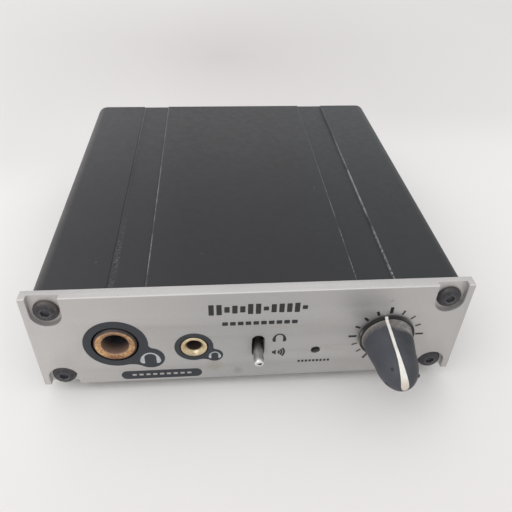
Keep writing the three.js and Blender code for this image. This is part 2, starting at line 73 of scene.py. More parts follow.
# ---- driving dimensions that the CAD boxes don't give, in millimetres and degrees
EASE = 0.29  # how far in the middle of a rounded edge lies, as a share of its radius
CORNER = 3.6
CHANNEL = SimpleNamespace(inner=24.6, outer=33.3, depth=0.6, lip=0.2, foot=0.14)
WALL = SimpleNamespace(side=2.0, floor=2.2, roof=2.5)
SCREW = SimpleNamespace(
    x=47.05, high=24.65, low=2.8, head=2.95, rear_head=2.5, height=1.45, shank=1.42, socket=1.15
)
POCKET = SimpleNamespace(half=3.55, depth=1.45, high=24.3, low=2.6)
PORT = SimpleNamespace(boss=3.1, hole=1.55)
SLOT = SimpleNamespace(half=1.55, tall=3.7)
BIG_HOLE = 5.55
SMALL_HOLE = 3.4
LAMP_HOLE = 1.15
DIAL_HOLE = 3.7
USB_SPARE = 0.2
INLET_HOLE = 3.7
LINE_HOLE = 4.4
SLIDE = SimpleNamespace(half=4.1, tall=1.7)
POINTER_ANGLE = 100.0
TOGGLE = SimpleNamespace(tilt=14.0, pivot=5.0, reach=9.4, radius=1.27, ball=1.7, neck=1.1)
BUSHING = SimpleNamespace(outer=2.9, bore=2.1)
KNOB_FORM = SimpleNamespace(reach=16.4, foot=0.95, shoulder=8.2, base=6.2, dome=5.05, bulge=0.1)
SKIRT = SimpleNamespace(radius=6.95, front=0.85, back=0.3)
HUB = SimpleNamespace(radius=3.12, depth=9.8)
INLAY = SimpleNamespace(depth=0.7, gap=0.07, narrow=0.36, waist=0.46, wide=0.97, long=2.0, start=0.9)
INK = SimpleNamespace(proud=0.03, gap=0.14)


# ---- objects and the camera
def placed(name, data):
    """A new object in the scene."""
    made = bpy.data.objects.new(name, data)
    bpy.context.scene.collection.objects.link(made)
    return made


def make_camera():
    """It stands in front of the panel, above it, and looks down on the case."""
    place = Vector((-8.37, -88.86, 110.07))
    yaw, pitch, roll = (radians(a) for a in (5.52, 38.28, 1.79))
    focal_share = 1.038
    ahead = Vector((sin(yaw) * cos(pitch), cos(yaw) * cos(pitch), -sin(pitch)))
    level = Vector((cos(yaw), -sin(yaw), 0))
    upward = level.cross(ahead)
    right = cos(roll) * level + sin(roll) * upward
    top = cos(roll) * upward - sin(roll) * level
    data = bpy.data.cameras.new("camera")
    data.sensor_width = 36
    data.lens = data.sensor_width * focal_share
    data.clip_start, data.clip_end = 0.005, 20
    camera = placed("camera", data)
    turn = Matrix((right, top, -ahead)).transposed().to_4x4()
    camera.matrix_world = Matrix.Translation(TO_ROW @ place) @ turn
    bpy.context.scene.camera = camera


make_camera()


# ---- colours and node materials
def srgb(red, green, blue):
    """A screen colour, 0 to 255, as linear RGBA."""
    shares = (c / 255 for c in (red, green, blue))
    return (*(c / 12.92 if c <= 0.0393 else ((c + 0.055) / 1.055) ** 2.4 for c in shares), 1.0)


class Finish:
    """A node material whose patterns are laid out in panel millimetres."""

    def __init__(self, name, roughness, metallic=0.0):
        self.material = bpy.data.materials.new(name)
        self.material.use_nodes = True
        self.tree = self.material.node_tree
        self.shader = next(n for n in self.tree.nodes if n.type == "BSDF_PRINCIPLED")
        self.shader.inputs["Roughness"].default_value = roughness
        self.shader.inputs["Metallic"].default_value = metallic
        place = self.vector("SUBTRACT", self.add("ShaderNodeTexCoord").outputs["Object"], ORIGIN)
        grown = self.add("ShaderNodeVectorMath", {0: place, 3: 1 / MM}, operation="SCALE")
        self.place = grown.outputs[0]
        self.x, self.y, self.z = self.add("ShaderNodeSeparateXYZ", {0: self.place}).outputs

    def add(self, kind, inputs=None, **settings):
        node = self.tree.nodes.new(kind)
        for key, value in settings.items():
            setattr(node, key, value)
        for key, value in (inputs or {}).items():
            self.feed(node.inputs[key], value)
        return node

    def feed(self, socket, value):
        if isinstance(value, bpy.types.NodeSocket):
            self.tree.links.new(value, socket)
        else:
            socket.default_value = value

    def vector(self, operation, a, b, output=0):
        return self.add("ShaderNodeVectorMath", {0: a, 1: b}, operation=operation).outputs[output]

    def math(self, operation, a, b=0.0, clamp=False):
        return self.add("ShaderNodeMath", {0: a, 1: b}, operation=operation, use_clamp=clamp).outputs[0]

    def times(self, a, *factors):
        for factor in factors:
            a = self.math("MULTIPLY", a, factor)
        return a

    def plus(self, a, b):
        return self.math("ADD", a, b)

    def minus(self, a, b):
        return self.math("SUBTRACT", a, b)

    def rest(self, share):
        """What is left of 1."""
        return self.minus(1.0, share)

    def apart(self, a, b):
        """The distance between two numbers."""
        return self.math("ABSOLUTE", self.minus(a, b))

    def fit(self, value, low, high, to_low=0.0, to_high=1.0):
        """A straight ramp from one value to the other, level before and after it."""
        inputs = {"Value": value, "From Min": low, "From Max": high, "To Min": to_low, "To Max": to_high}
        return self.add("ShaderNodeMapRange", inputs).outputs[0]

    def fall(self, value, low, high):
        """1 up to the low value, then down to 0 at the high one."""
        return self.fit(value, low, high, 1.0, 0.0)

    def stretched(self, x, y, z):
        return self.vector("MULTIPLY", self.place, (x, y, z))

    def noise(self, scale, detail=2.0, roughness=0.5, along=None):
        inputs = {"Vector": along or self.place, "Scale": scale, "Detail": detail, "Roughness": roughness}
        return self.add("ShaderNodeTexNoise", inputs).outputs[0]

    def cells(self, scale):
        """Distance to the nearest of a set of scattered points."""
        return self.add("ShaderNodeTexVoronoi", {"Vector": self.place, "Scale": scale}).outputs["Distance"]

    def away(self, point):
        """Distance in millimetres from a point."""
        return self.vector("DISTANCE", self.place, point, "Value")

    def radius(self, at):
        """Distance in millimetres from the line along y through a node's middle."""
        return self.vector("DISTANCE", self.stretched(1, 0, 1), (at.x, 0, at.z), "Value")

    def mix(self, share, *colours):
        """Two colours mixed, each another mix's socket or a screen colour from 0 to 255."""
        one, other = (srgb(*c) if isinstance(c, tuple) else c for c in colours)
        return self.add("ShaderNodeMix", {0: share, 6: one, 7: other}, data_type="RGBA").outputs[2]

    def coat(self, share, one, other):
        """The first two colours of the surface, mixed by a share from 0 to 1."""
        self.feed(self.shader.inputs["Base Color"], self.mix(share, one, other))

    def mottle(self, scale, dark, light, detail=4, roughness=0.6):
        """The first two colours in soft clouds. Gives back the clouds."""
        cloud = self.noise(scale, detail, roughness)
        self.coat(self.fit(cloud, 0.35, 0.65), dark, light)
        return cloud

    def paint(self, share, colour):
        """Mixes one more colour over what is there."""
        below = self.shader.inputs["Base Color"].links[0].from_socket
        self.coat(share, below, colour)

    def rough(self, low, high, pattern, start=0.3, end=0.7):
        """Roughness that follows a pattern."""
        self.feed(self.shader.inputs["Roughness"], self.fit(pattern, start, end, low, high))

    def metal(self, value):
        self.feed(self.shader.inputs["Metallic"], value)

    def grain(self, depth, scale, detail=3, roughness=0.5):
        self.bump(self.noise(scale, detail, roughness), depth)

    def bump(self, height, millimetres):
        """Adds a relief of that depth on top of what is there."""
        inputs = {"Height": height, "Distance": millimetres * MM, "Strength": 1.0}
        normal = self.shader.inputs["Normal"]
        if normal.links:
            inputs["Normal"] = normal.links[0].from_socket
        self.feed(normal, self.add("ShaderNodeBump", inputs).outputs[0])


def speckled(name, dark, light, scale, roughness, relief, metallic=0.0):
    """A plain material with a mottled colour, a fine grain and uneven gloss."""
    f = Finish(name, roughness, metallic)
    f.mottle(scale, dark, light)
    f.rough(roughness * 0.88, min(1.0, roughness * 1.12), f.noise(scale * 2.3, 3))
    f.grain(relief, scale * 6)
    return f.material


def case_finish():
    """Matt black sandblasted aluminium, worn grey along the channel edges, with painted light: lighter
    towards the left, a bluish painted reflection towards the right, a painted highlight on the right outer
    channel wall, the left outer channel wall painted lighter, and warm painted reflections on the side
    corners.
    """
    f = Finish("black_sandblasted_aluminium", 0.52)
    # painted light: the sleeve lighter towards the left, as lit from the left, and a bluish painted
    # reflection towards the right
    f.coat(f.fall(f.x, CASE.x0, CASE.x0 + 36), (25, 25, 27), (45, 45, 48))
    f.paint(f.fit(f.x, 16, 34), (26, 31, 33))
    f.paint(f.fit(f.noise(0.05, 3), 0.35, 0.65, 0, 0.35), (30, 31, 33))
    f.paint(f.fit(f.noise(5, 2), 0.6, 0.8, 0, 0.4), (62, 62, 65))
    dust = f.fit(f.cells(0.16), 0.02, 0.05, 0.45, 0)
    f.paint(dust, (126, 126, 124))
    top = PANEL.z1
    on_lip = f.fit(f.z, top - CHANNEL.lip * 1.3, top - CHANNEL.lip * 0.3)
    # height of the right outer channel wall and its lip, painted light grey as a painted highlight where
    # the light falls on the wall
    lit_wall = f.fit(f.z, top - CHANNEL.depth, top - CHANNEL.depth + 0.15)
    uneven = f.fit(f.noise(1, 3, 0.6, f.stretched(0.1, 0.13, 0.1)), 0.36, 0.56, 0.3, 1)
    fine = f.fit(f.noise(1, 3, 0.7, f.stretched(0.3, 0.9, 0.3)), 0.4, 0.6, 0.6, 1)
    specks = f.fit(f.noise(1, 3, 0.8, f.stretched(1, 1.6, 1)), 0.42, 0.56, 0.25, 1.3)
    in_front = f.fall(f.y, 18, 26)
    specks = f.plus(f.times(in_front, specks), f.rest(in_front))
    # worn lip edges of the channels, and the right outer channel wall as a painted highlight
    lips = [
        (-CHANNEL.inner, on_lip, (40, 60), 0.8, 0.5),
        (CHANNEL.inner, on_lip, (45, 75), 0.52, 0.22),
        (CHANNEL.outer, lit_wall, (62, 82), 0.8, 0.22),
    ]
    wear = None
    for x, height, (near_y, far_y), front, back in lips:
        near = f.rest(f.fit(f.apart(f.x, x), CHANNEL.lip * 1.1, CHANNEL.lip * 1.9))
        line = f.times(near, f.fit(f.y, near_y, far_y, front, back), height)
        wear = line if wear is None else f.math("MAXIMUM", wear, line)
    gap = f.fit(f.apart(f.y, 27), 1.5, 4.5, 0.25, 1)
    wear = f.times(f.times(wear, uneven), f.times(fine, gap))
    wear = f.math("MULTIPLY", wear, specks, True)
    # real wear on the channel edges, and a painted highlight on the right outer channel wall
    f.paint(wear, (150, 149, 148))
    foot = f.fall(f.apart(f.x, 0.9 - CHANNEL.outer), 0.3, 0.9)
    frost = f.fit(f.noise(2.4, 3, 0.8), 0.5, 0.66, 0, 0.8)
    f.paint(f.times(foot, frost, f.fall(f.y, 14, 42)), (112, 113, 116))
    # painted light: the left outer channel wall, which lies in shade, painted lighter grey, more towards
    # the back
    at_wall = f.fall(f.apart(f.x, -CHANNEL.outer), 0.25, 0.4)
    lightened_wall = f.times(at_wall, f.fall(f.z, top - 0.15, top - 0.05), f.fit(f.y, 60, 95, 0.7, 0.95))
    f.paint(lightened_wall, f.mix(f.fit(f.y, 60, 95), (74, 74, 76), (100, 100, 102)))
    # painted reflection: a warm lighter sheen on the side corners, patchy and stronger on the left
    on_left = f.fit(f.minus(0, f.x), CASE.x1 - CORNER + 0.3, CASE.x1 - 0.9)
    on_right = f.fit(f.x, CASE.x1 - 1.6, CASE.x1 - 0.7)
    on_top = f.fit(f.z, top - CORNER, top - CORNER * 0.6)
    patchy = f.fit(f.noise(0.5, 4, 0.6, f.stretched(1, 0.25, 1)), 0.3, 0.62, 0.5, 1)
    f.paint(f.times(on_left, on_top, patchy, 0.75), (96, 92, 88))
    f.paint(f.times(on_right, on_top, 0.7), (104, 96, 90))
    f.rough(0.49, 0.55, f.noise(0.5, 3))
    f.grain(0.025, 7, 3, 0.6)
    return f.material


def panel_finish():
    """Satin aluminium: fine blasted grain on the face, which is painted darker as painted shade, lightest
    towards its left end; faint bands along the top, a few smudges, and a painted highlight along the top
    front edge.
    """
    f = Finish("satin_aluminium", 0.46, 0.75)
    f.mottle(0.05, (203, 200, 198), (211, 208, 206), 3, 0.55)
    # painted shade: the front face darker than the top, as it faces away from the overhead light, lightest
    # towards the left end, which the light from the left falls on, and a little lighter towards the right
    # end
    face = f.fall(f.y, 0.1, 0.25)
    away = f.fit(f.x, PANEL.x0 + 3, -8, 0.2, 1)
    away = f.minus(away, f.fit(f.x, 6, 30, 0, 0.36))
    f.paint(f.times(face, away), (184, 183, 182))
    f.paint(f.fit(f.noise(3.2, 3, 0.65), 0.35, 0.75, 0, 0.24), (146, 143, 141))
    bands = f.noise(1, 3, 0.6, f.stretched(0.04, 2.2, 0.9))
    f.paint(f.times(f.fit(bands, 0.4, 0.7, 0, 0.16), f.rest(face)), (160, 157, 155))
    smudges = [
        ((-9.6, 0, 4.8), 2.6, (150, 134, 100), 0.4),
        ((-3.5, 0, 2.3), 1.7, (106, 102, 101), 0.42),
        ((32.9, 0, 25), 0.5, (96, 92, 88), 0.6),
        ((44, 0, 12), 3, (196, 193, 190), 0.25),
        ((-44.5, 0, 14), 5, (206, 203, 200), 0.3),
    ]
    ragged = f.fit(f.noise(0.9, 3), 0.3, 0.7, 0.35, 1)
    for point, size, tint, strength in smudges:
        near = f.fit(f.away(point), size * 0.2, size, strength, 0)
        f.paint(f.times(near, ragged), tint)
    # painted highlight along the top front edge
    edge_highlight = f.times(f.fit(f.z, PANEL.z1 - 0.3, PANEL.z1 - 0.12), f.fall(f.y, 0.12, 0.3))
    f.paint(f.times(edge_highlight, 0.8), (230, 228, 225))
    for jack, hole in ((BIG_JACK, BIG_HOLE), (SMALL_JACK, SMALL_HOLE)):
        f.paint(f.fall(f.radius(jack), hole + 0.16, hole + 0.2), (44, 46, 50))
    # painted shade: the wall of the lamp hole darkened
    bore = f.fit(f.radius(LAMP), LAMP_HOLE + 0.05, LAMP_HOLE + 0.12, 0.6, 0)
    f.paint(f.times(bore, f.fit(f.y, 0.02, 0.2)), (60, 60, 60))
    f.rough(0.42, 0.52, f.noise(1.4, 3))
    f.grain(0.022, 6, 3, 0.6)
    return f.material


def screw_finish():
    """Black oxide, lighter blue-grey on top of the heads, with a warm grey painted reflection round their
    rims and warm scuff marks, partly painted light, both stronger on the left.
    """
    f = Finish("black_steel", 0.42, 0.3)
    cloud = f.mottle(0.9, (42, 42, 46), (62, 61, 65))
    across = f.math("ABSOLUTE", f.x)
    for z in (SCREW.high, SCREW.low):
        sides = f.math("POWER", f.minus(across, SCREW.x), 2)
        rises = f.math("POWER", f.minus(f.z, z), 2)
        reach = f.math("SQRT", f.plus(sides, rises))
        # painted reflection: a warm grey ring round each head's rim, stronger on the left screws
        rim = f.times(f.fit(reach, 2.2, 2.8), f.fall(reach, 3.1, 3.4), f.fit(f.x, -20, 20, 0.5, 0.2))
        f.paint(rim, (112, 103, 98))
        f.paint(f.fit(reach, 1.2, 1.5, 0.75, 0), (92, 92, 96))
    # partly scuff marks, partly painted light: warm patches, stronger on the left screws, which the light
    # falls on
    scuffs_and_sheen = f.fit(f.noise(1.8, 4, 0.7), 0.56, 0.7)
    f.paint(f.times(scuffs_and_sheen, f.fit(f.x, -20, 20, 0.7, 0.15)), (118, 106, 104))
    f.rough(0.36, 0.48, cloud)
    f.grain(0.012, 5)
    return f.material


def copper_finish():
    """Tarnished copper plating: pitted, rosy below, with painted shade: greyer towards the top, grey and
    dark at the shoulder, and brown in the bore, darker deeper in.
    """
    f = Finish("tarnished_copper", 0.34, 0.9)
    cloud = f.fit(f.noise(1.5, 5, 0.7), 0.4, 0.6)
    f.coat(cloud, (166, 118, 82), (224, 184, 136))
    rise = f.minus(f.z, BIG_JACK.z)
    # painted shade: greyer towards the top
    f.paint(f.fit(rise, 2.4, 4.4, 0, 0.6), (150, 128, 114))
    f.paint(f.fit(rise, -4.6, -2.8, 0.9, 0), (116, 80, 66))
    f.paint(f.fit(f.x, BIG_JACK.x - 4.5, BIG_JACK.x - 2.5, 0.3, 0), (226, 182, 136))
    f.paint(f.fit(f.x, BIG_JACK.x + 1.5, BIG_JACK.x + 4.5, 0, 0.35), (150, 122, 92))
    pits = f.times(f.fall(f.cells(2.3), 0.1, 0.28), f.fit(f.noise(0.7, 2), 0.36, 0.5))
    f.paint(f.times(pits, 0.6), (96, 64, 46))
    f.paint(f.fit(f.noise(4, 2), 0.62, 0.7, 0, 0.6), (244, 216, 172))
    reach = f.radius(BIG_JACK)
    # painted shade: the rounded shoulder dark and less metallic, where shade falls between the collar and
    # the panel's hole
    shoulder = f.fit(reach, 4.62, 4.86, 0, 0.95)
    f.paint(shoulder, f.mix(f.fit(rise, -3, 3), (66, 52, 44), (46, 44, 46)))
    # painted shade: the bore brown, darker deeper in
    inside = f.fall(reach, 3.32, 3.5)
    f.paint(inside, f.mix(f.fit(f.y, -0.1, 2.8), (166, 136, 116), (98, 84, 80)))
    dull = f.math("MAXIMUM", f.times(inside, 0.75), f.times(shoulder, 0.65))
    f.metal(f.minus(0.9, dull))
    f.rough(0.42, 0.3, cloud, 0, 1)
    f.bump(f.rest(pits), 0.06)
    f.grain(0.05, 3, 4)
    return f.material


def gold_finish():
    """Pale gold plating, duller underneath, with a brown shadow down the bore."""
    f = Finish("gold_plating", 0.3, 0.9)
    cloud = f.mottle(1.2, (212, 194, 156), (226, 210, 176), 3, 0.5)
    f.paint(f.fit(f.z, SMALL_JACK.z - 3, SMALL_JACK.z - 1.4, 0.8, 0), (166, 150, 130))
    f.paint(f.fit(f.x, SMALL_JACK.x - 3, SMALL_JACK.x - 1.6, 0.5, 0), (186, 152, 106))
    inside = f.times(f.fit(f.y, 0.45, 0.9), f.fall(f.radius(SMALL_JACK), 2.3, 2.4))
    f.paint(inside, (84, 70, 66))
    f.metal(f.minus(0.9, f.times(inside, 0.7)))
    f.rough(0.26, 0.36, cloud)
    f.grain(0.015, 3)
    return f.material


def lever_finish():
    """Nickel-plated lever: brushed grey along its length, painted darker as painted shade where it goes
    into the slot, polished at the tip, with a painted highlight there, a dark painted reflection in its
    middle and a lighter painted reflection below.
    """
    f = Finish("plated_lever", 0.24, 1)
    streaks = f.noise(1, 3, 0.6, f.stretched(5, 0.6, 5))
    lean = radians(TOGGLE.tilt)
    end = TOGGLE.pivot - TOGGLE.reach * cos(lean)
    drop = SLOT_MIDDLE.z - TOGGLE.reach * sin(lean)
    tip = f.fit(f.y, end + 1.1, end + 0.5)
    f.coat(f.fit(streaks, 0.35, 0.65), (158, 156, 154), (182, 181, 180))
    # painted shade: darker where the lever goes into the slot
    f.paint(f.fit(f.y, -1.5, 1.5, 0, 0.7), (84, 80, 78))
    # painted highlight on the tip
    f.paint(tip, (232, 230, 228))
    middle = (SLOT_MIDDLE.x + 0.08, end, drop + 0.5)
    # painted reflection: a dark spot in the middle of the tip
    dark_reflection = f.plus(f.away(middle), f.fit(f.noise(2.2, 3), 0.3, 0.7, -0.3, 0.3))
    f.paint(f.fit(dark_reflection, 0.36, 0.62, 0.95, 0), (40, 36, 35))
    # painted reflection: lighter grey on the tip's lower part
    under = f.times(tip, f.fit(f.z, drop - 0.95, drop - 0.5, 0.55, 0))
    f.paint(under, (150, 148, 146))
    f.rough(0.36, 0.14, tip, 0, 1)
    f.bump(streaks, 0.012)
    return f.material


def steel_finish(name, tone):
    """Plated steel with streaks along y, about a grey tone."""
    f = Finish(name, 0.3, 1.0)
    streaks = f.noise(1, 4, 0.6, f.stretched(1.5, 0.3, 1.5))
    dark, light = (tone - 14, tone - 15, tone - 17), (tone + 14, tone + 14, tone + 13)
    f.coat(f.fit(streaks, 0.3, 0.7), dark, light)
    f.rough(0.24, 0.38, f.noise(1.1, 3))
    f.bump(streaks, 0.008)
    return f.material


def knob_finish():
    """Soft-touch coating, painted lighter and bluer on the left and darker on the right as painted light: a
    black skirt with painted highlights on its rim and painted shade in the cove above it, a brown-grey band
    above it, pits and nicks.
    """
    f = Finish("soft_touch_coating", 0.56)
    foot_y = -KNOB_FORM.foot
    f.mottle(0.28, (44, 47, 51), (56, 59, 64))
    # painted light: lighter and bluer on the left side, as lit from the left, and darker on the right
    f.paint(f.fit(f.x, DIAL.x - 4.5, DIAL.x + 4.5, 0.8, 0), (70, 73, 80))
    f.paint(f.fit(f.x, DIAL.x, DIAL.x + 5, 0, 0.8), (34, 38, 43))
    f.paint(f.fit(f.noise(3, 3, 0.7), 0.5, 0.7, 0, 0.35), (84, 86, 90))
    aside, up = f.minus(f.x, DIAL.x), f.minus(f.z, DIAL.z)
    ragged = f.times(f.minus(f.noise(0.9, 4, 0.7), 0.5), 1.8)
    edge = f.plus(f.plus(f.y, ragged), f.fit(aside, -1.8, 0.6, 1.1, 2.5))
    band = f.fit(edge, foot_y - 0.7, foot_y + 0.2)
    side = f.times(band, f.fit(aside, 5.4, 6.2, 1, 0.3))
    patchy = f.fit(f.noise(1.3, 4, 0.7), 0.36, 0.6, 0.3, 1)
    tone = f.mix(f.fit(aside, 0, 4), (122, 116, 111), (160, 157, 152))
    f.paint(f.times(side, patchy), tone)
    reach = f.radius(DIAL)
    foot = f.times(f.fit(reach, 5.95, 6.1), f.fit(f.y, foot_y - 0.55, foot_y - 0.3))
    f.paint(f.times(foot, f.fit(aside, -6, -1, 0.75, 0.15)), (146, 139, 132))
    # painted shade: a black ring in the cove between the body and the skirt
    skirt = f.times(f.fit(reach, 6.24, 6.34), f.fit(f.y, foot_y - 0.08, foot_y + 0.02))
    f.paint(skirt, (20, 21, 22))
    # painted highlights on the skirt's outer rim, on the left and the upper right
    slope = f.plus(f.times(aside, 0.643), f.times(up, 0.766))
    rim_highlight = f.math("MAXIMUM", f.fall(aside, -6.75, -6.2), f.fit(slope, 6.35, 6.8, 0, 0.34))
    patchy = f.fit(f.noise(0.9, 4, 0.65), 0.36, 0.56, 0.2, 1)
    f.paint(f.times(rim_highlight, patchy, f.fit(reach, 6.7, 6.85)), (134, 128, 123))
    nicks = f.fall(f.cells(0.33), 0.045, 0.085)
    f.paint(f.times(nicks, 0.7), (22, 22, 23))
    pit = (DIAL.x - 2.6, -13.2, DIAL.z + 2.9)
    f.paint(f.fit(f.away(pit), 0.2, 0.65, 0.7, 0), (20, 20, 22))
    f.paint(f.fit(f.cells(0.3), 0.03, 0.07, 0.5, 0), (150, 150, 152))
    f.paint(f.fit(f.noise(2.6, 3, 0.7), 0.66, 0.74, 0, 0.4), (104, 103, 102))
    f.rough(0.55, 0.48, side, 0, 1)
    f.bump(f.rest(nicks), 0.12)
    f.grain(0.04, 4.2, 3, 0.6)
    return f.material


def pointer_finish():
    """Ivory plastic, yellowed at the knob's tip and a little grimy."""
    f = Finish("ivory_inlay", 0.4)
    cloud = f.mottle(0.6, (222, 219, 211), (235, 232, 225))
    f.paint(f.fit(f.y, -15.2, -16.2, 0, 0.8), (208, 196, 182))
    f.paint(f.fit(f.noise(1.6, 4, 0.7), 0.6, 0.72, 0, 0.35), (150, 144, 132))
    f.rough(0.34, 0.46, cloud)
    f.grain(0.02, 3)
    return f.material


def board_finish():
    """Green solder mask over copper traces, with tin pads."""
    f = Finish("circuit_board", 0.32)
    lines = f.math("FRACT", f.times(f.x, 0.42))
    region = f.fit(f.noise(0.09, 1), 0.5, 0.52)
    traces = f.times(f.fit(lines, 0.42, 0.46), f.fall(lines, 0.6, 0.64), region)
    f.coat(traces, (20, 72, 44), (38, 104, 62))
    f.paint(f.fall(f.cells(0.34), 0.1, 0.13), (196, 194, 186))
    f.bump(traces, 0.03)
    f.grain(0.008, 2, 2)
    return f.material


def coil_finish():
    """Enamelled wire, wound in fine turns."""
    f = Finish("coil_winding", 0.46)
    pitch = 0.5
    wave = f.math("SINE", f.times(f.x, tau / pitch))
    f.coat(f.fit(wave, -1, 1), (96, 52, 26), (150, 88, 48))
    f.bump(wave, 0.06)
    f.grain(0.01, 4, 2)
    return f.material


INK_DARK = speckled("printed_ink", (31, 36, 42), (44, 48, 55), 1.6, 0.42, 0.006)
INK_BLACK = speckled("printed_black", (20, 20, 22), (30, 30, 31), 1.6, 0.42, 0.006)
INK_WHITE = speckled("printed_white", (168, 173, 177), (190, 194, 197), 1.6, 0.42, 0.006)
INK_GREY = speckled("rubbed_ink", (66, 64, 62), (84, 81, 78), 1.6, 0.42, 0.006)
CASE_BLACK = case_finish()
REAR_BLACK = speckled("black_rear_plate", (34, 34, 36), (42, 42, 44), 3, 0.5, 0.02)
ALUMINIUM = panel_finish()
SCREW_BLACK = screw_finish()
COPPER = copper_finish()
GOLD = gold_finish()
LEVER = lever_finish()
STEEL = steel_finish("nickel_steel", 178)
BRIGHT_PIN = steel_finish("bright_pin", 214)
DARK_STEEL = steel_finish("blackened_steel", 98)
SOFT_TOUCH = knob_finish()
IVORY = pointer_finish()
RUBBER = speckled("foot_rubber", (22, 22, 22), (34, 33, 32), 1.2, 0.85, 0.05)
BOARD_GREEN = board_finish()
BORE_BROWN = speckled("jack_housing", (60, 58, 60), (76, 74, 76), 0.8, 0.5, 0.02)
BLACK_PLASTIC = speckled("black_plastic", (22, 22, 24), (32, 32, 34), 1.4, 0.46, 0.02)
CHIP = speckled("chip_resin", (30, 31, 33), (42, 43, 45), 2.4, 0.6, 0.02)
WHITE_PLASTIC = speckled("white_plastic", (214, 211, 203), (232, 229, 222), 1, 0.42, 0.015)
RED_PLASTIC = speckled("red_plastic", (142, 24, 24), (172, 34, 32), 1, 0.42, 0.015)
SLEEVE_BLUE = speckled("capacitor_sleeve", (22, 34, 66), (34, 50, 92), 0.9, 0.34, 0.02)
FIN_ALUMINIUM = speckled("fin_aluminium", (140, 142, 144), (170, 171, 172), 1.6, 0.42, 0.02, 0.9)
LENS = speckled("lamp_lens", (36, 40, 38), (52, 56, 53), 0.8, 0.16, 0.01)
COIL = coil_finish()


# ---- outlines in x and z
def points(*pairs):
    """Outline points from (x, z) or (radius, y) pairs."""
    return [Vector(pair) for pair in pairs]


def arc(x, z, radius, start, end, steps):
    """Points on an arc, angles in degrees from +x towards +z, both ends included."""
    angles = [radians(start + (end - start) * i / steps) for i in range(steps + 1)]
    return [Vector((x + radius * cos(a), z + radius * sin(a))) for a in angles]


def circle(x, z, radius, steps=64):
    return arc(x, z, radius, 0, 360, steps)[:-1]


def rounded(corners, steps):
    """An outline or profile from (x, z, radius) corners, each turned into an arc unless its radius is 0."""
    outline = []
    for i, (x, z, radius) in enumerate(corners):
        following = corners[(i + 1) % len(corners)]
        before, corner, after = points(corners[i - 1][:2], (x, z), following[:2])
        if radius <= 0:
            outline.append(corner)
            continue
        a, b = (before - corner).normalized(), (after - corner).normalized()
        half = a.angle(b) / 2
        reach = radius / math.tan(half)
        middle = corner + (a + b).normalized() * (radius / sin(half))
        first, last = corner + a * reach - middle, corner + b * reach - middle
        sweep = first.angle_signed(last)
        for k in range(steps + 1):
            turn = -sweep * k / steps
            c, s = cos(turn), sin(turn)
            outline.append(middle + Vector((first.x * c - first.y * s, first.x * s + first.y * c)))
    return outline


def rectangle(x0, x1, z0, z1, radius=0.0, steps=5):
    return rounded([(x0, z0, radius), (x1, z0, radius), (x1, z1, radius), (x0, z1, radius)], steps)


def upright_slot(x, z, half, tall):
    straight = tall - half
    return arc(x, z + straight, half, 0, 180, 24) + arc(x, z - straight, half, 180, 360, 24)


def area(loop):
    pairs = zip(loop, loop[1:] + loop[:1])
    return sum(a.x * b.y - b.x * a.y for a, b in pairs) / 2


def inset(loop, distance):
    """The outline moved inwards, with mitred corners."""
    if not distance:
        return loop
    shifted = []
    for before, point, after in zip(loop[-1:] + loop[:-1], loop, loop[1:] + loop[:1]):
        a, b = (point - before).normalized(), (after - point).normalized()
        inward_a, inward_b = Vector((-a.y, a.x)), Vector((-b.y, b.x))
        middle = (inward_a + inward_b).normalized()
        shifted.append(point + middle * (distance / max(middle.dot(inward_a), 0.4)))
    return shifted


# ---- solids
def plate(outer, holes, steps):
    """A plate along y. Steps are (inset, y) from front to back, and shape outline and holes alike."""
    made = bmesh.new()
    loops = [loop if area(loop) > 0 else loop[::-1] for loop in (outer, *holes)]
    ends = ([], [])
    for index, loop in enumerate(loops):
        sense = 1 if index == 0 else -1
        insets = [(inset(loop, sense * distance), y) for distance, y in steps]
        rings = [[made.verts.new((p.x, y, p.y)) for p in ring] for ring, y in insets]
        for a, b in zip(rings, rings[1:]):
            for i in range(len(loop)):
                k = (i + 1) % len(loop)
                made.faces.new((a[i], a[k], b[k], b[i])).smooth = True
        ends[0].append(rings[0])
        ends[1].append(rings[-1])
    for rings in ends:
        flat = [[Vector((v.co.x, v.co.z, 0)) for v in ring] for ring in rings]
        verts = [v for ring in rings for v in ring]
        for triangle in tessellate_polygon(flat):
            if len(set(triangle)) == 3:
                made.faces.new([verts[i] for i in triangle]).smooth = False
    bmesh.ops.recalc_face_normals(made, faces=made.faces)
    return made


def edge_steps(y0, y1, edge):
    """A plate's rounded front and back edges."""
    soft = edge * EASE
    return [(edge, y0), (soft, y0 + soft), (0, y0 + edge), (0, y1 - edge), (soft, y1 - soft), (edge, y1)]


def bar(outline, y0, y1, edge):
    """A solid bar with rounded ends."""
    return plate(outline, [], edge_steps(y0, y1, edge))


def block(x0, x1, y0, y1, z0, z1, edge):
    return bar(rectangle(x0, x1, z0, z1, edge, 3), y0, y1, edge)


def block_of(at, edge):
    """A block that fills a node's box."""
    return block(at.x0, at.x1, at.y0, at.y1, at.z0, at.z1, edge)


def turned(profile, steps=64, closed=False):
    """A solid about the y axis from (radius, y) points. An open profile starts and ends on the axis."""
    made = bmesh.new()
    rings = []
    for radius, y in profile:
        if radius < 1e-6:
            rings.append([made.verts.new((0, y, 0))])
            continue
        angles = [tau * i / steps for i in range(steps)]
        rings.append([made.verts.new((radius * cos(a), y, radius * sin(a))) for a in angles])
    pairs = list(zip(rings, rings[1:]))
    if closed:
        pairs.append((rings[-1], rings[0]))
    for a, b in pairs:
        for i in range(steps):
            k = (i + 1) % steps
            corners = [a[i % len(a)], a[k % len(a)], b[k % len(b)], b[i % len(b)]]
            corners = [v for n, v in enumerate(corners) if v not in corners[:n]]
            if len(corners) > 2:
                made.faces.new(corners).smooth = True
    bmesh.ops.recalc_face_normals(made, faces=made.faces)
    return made


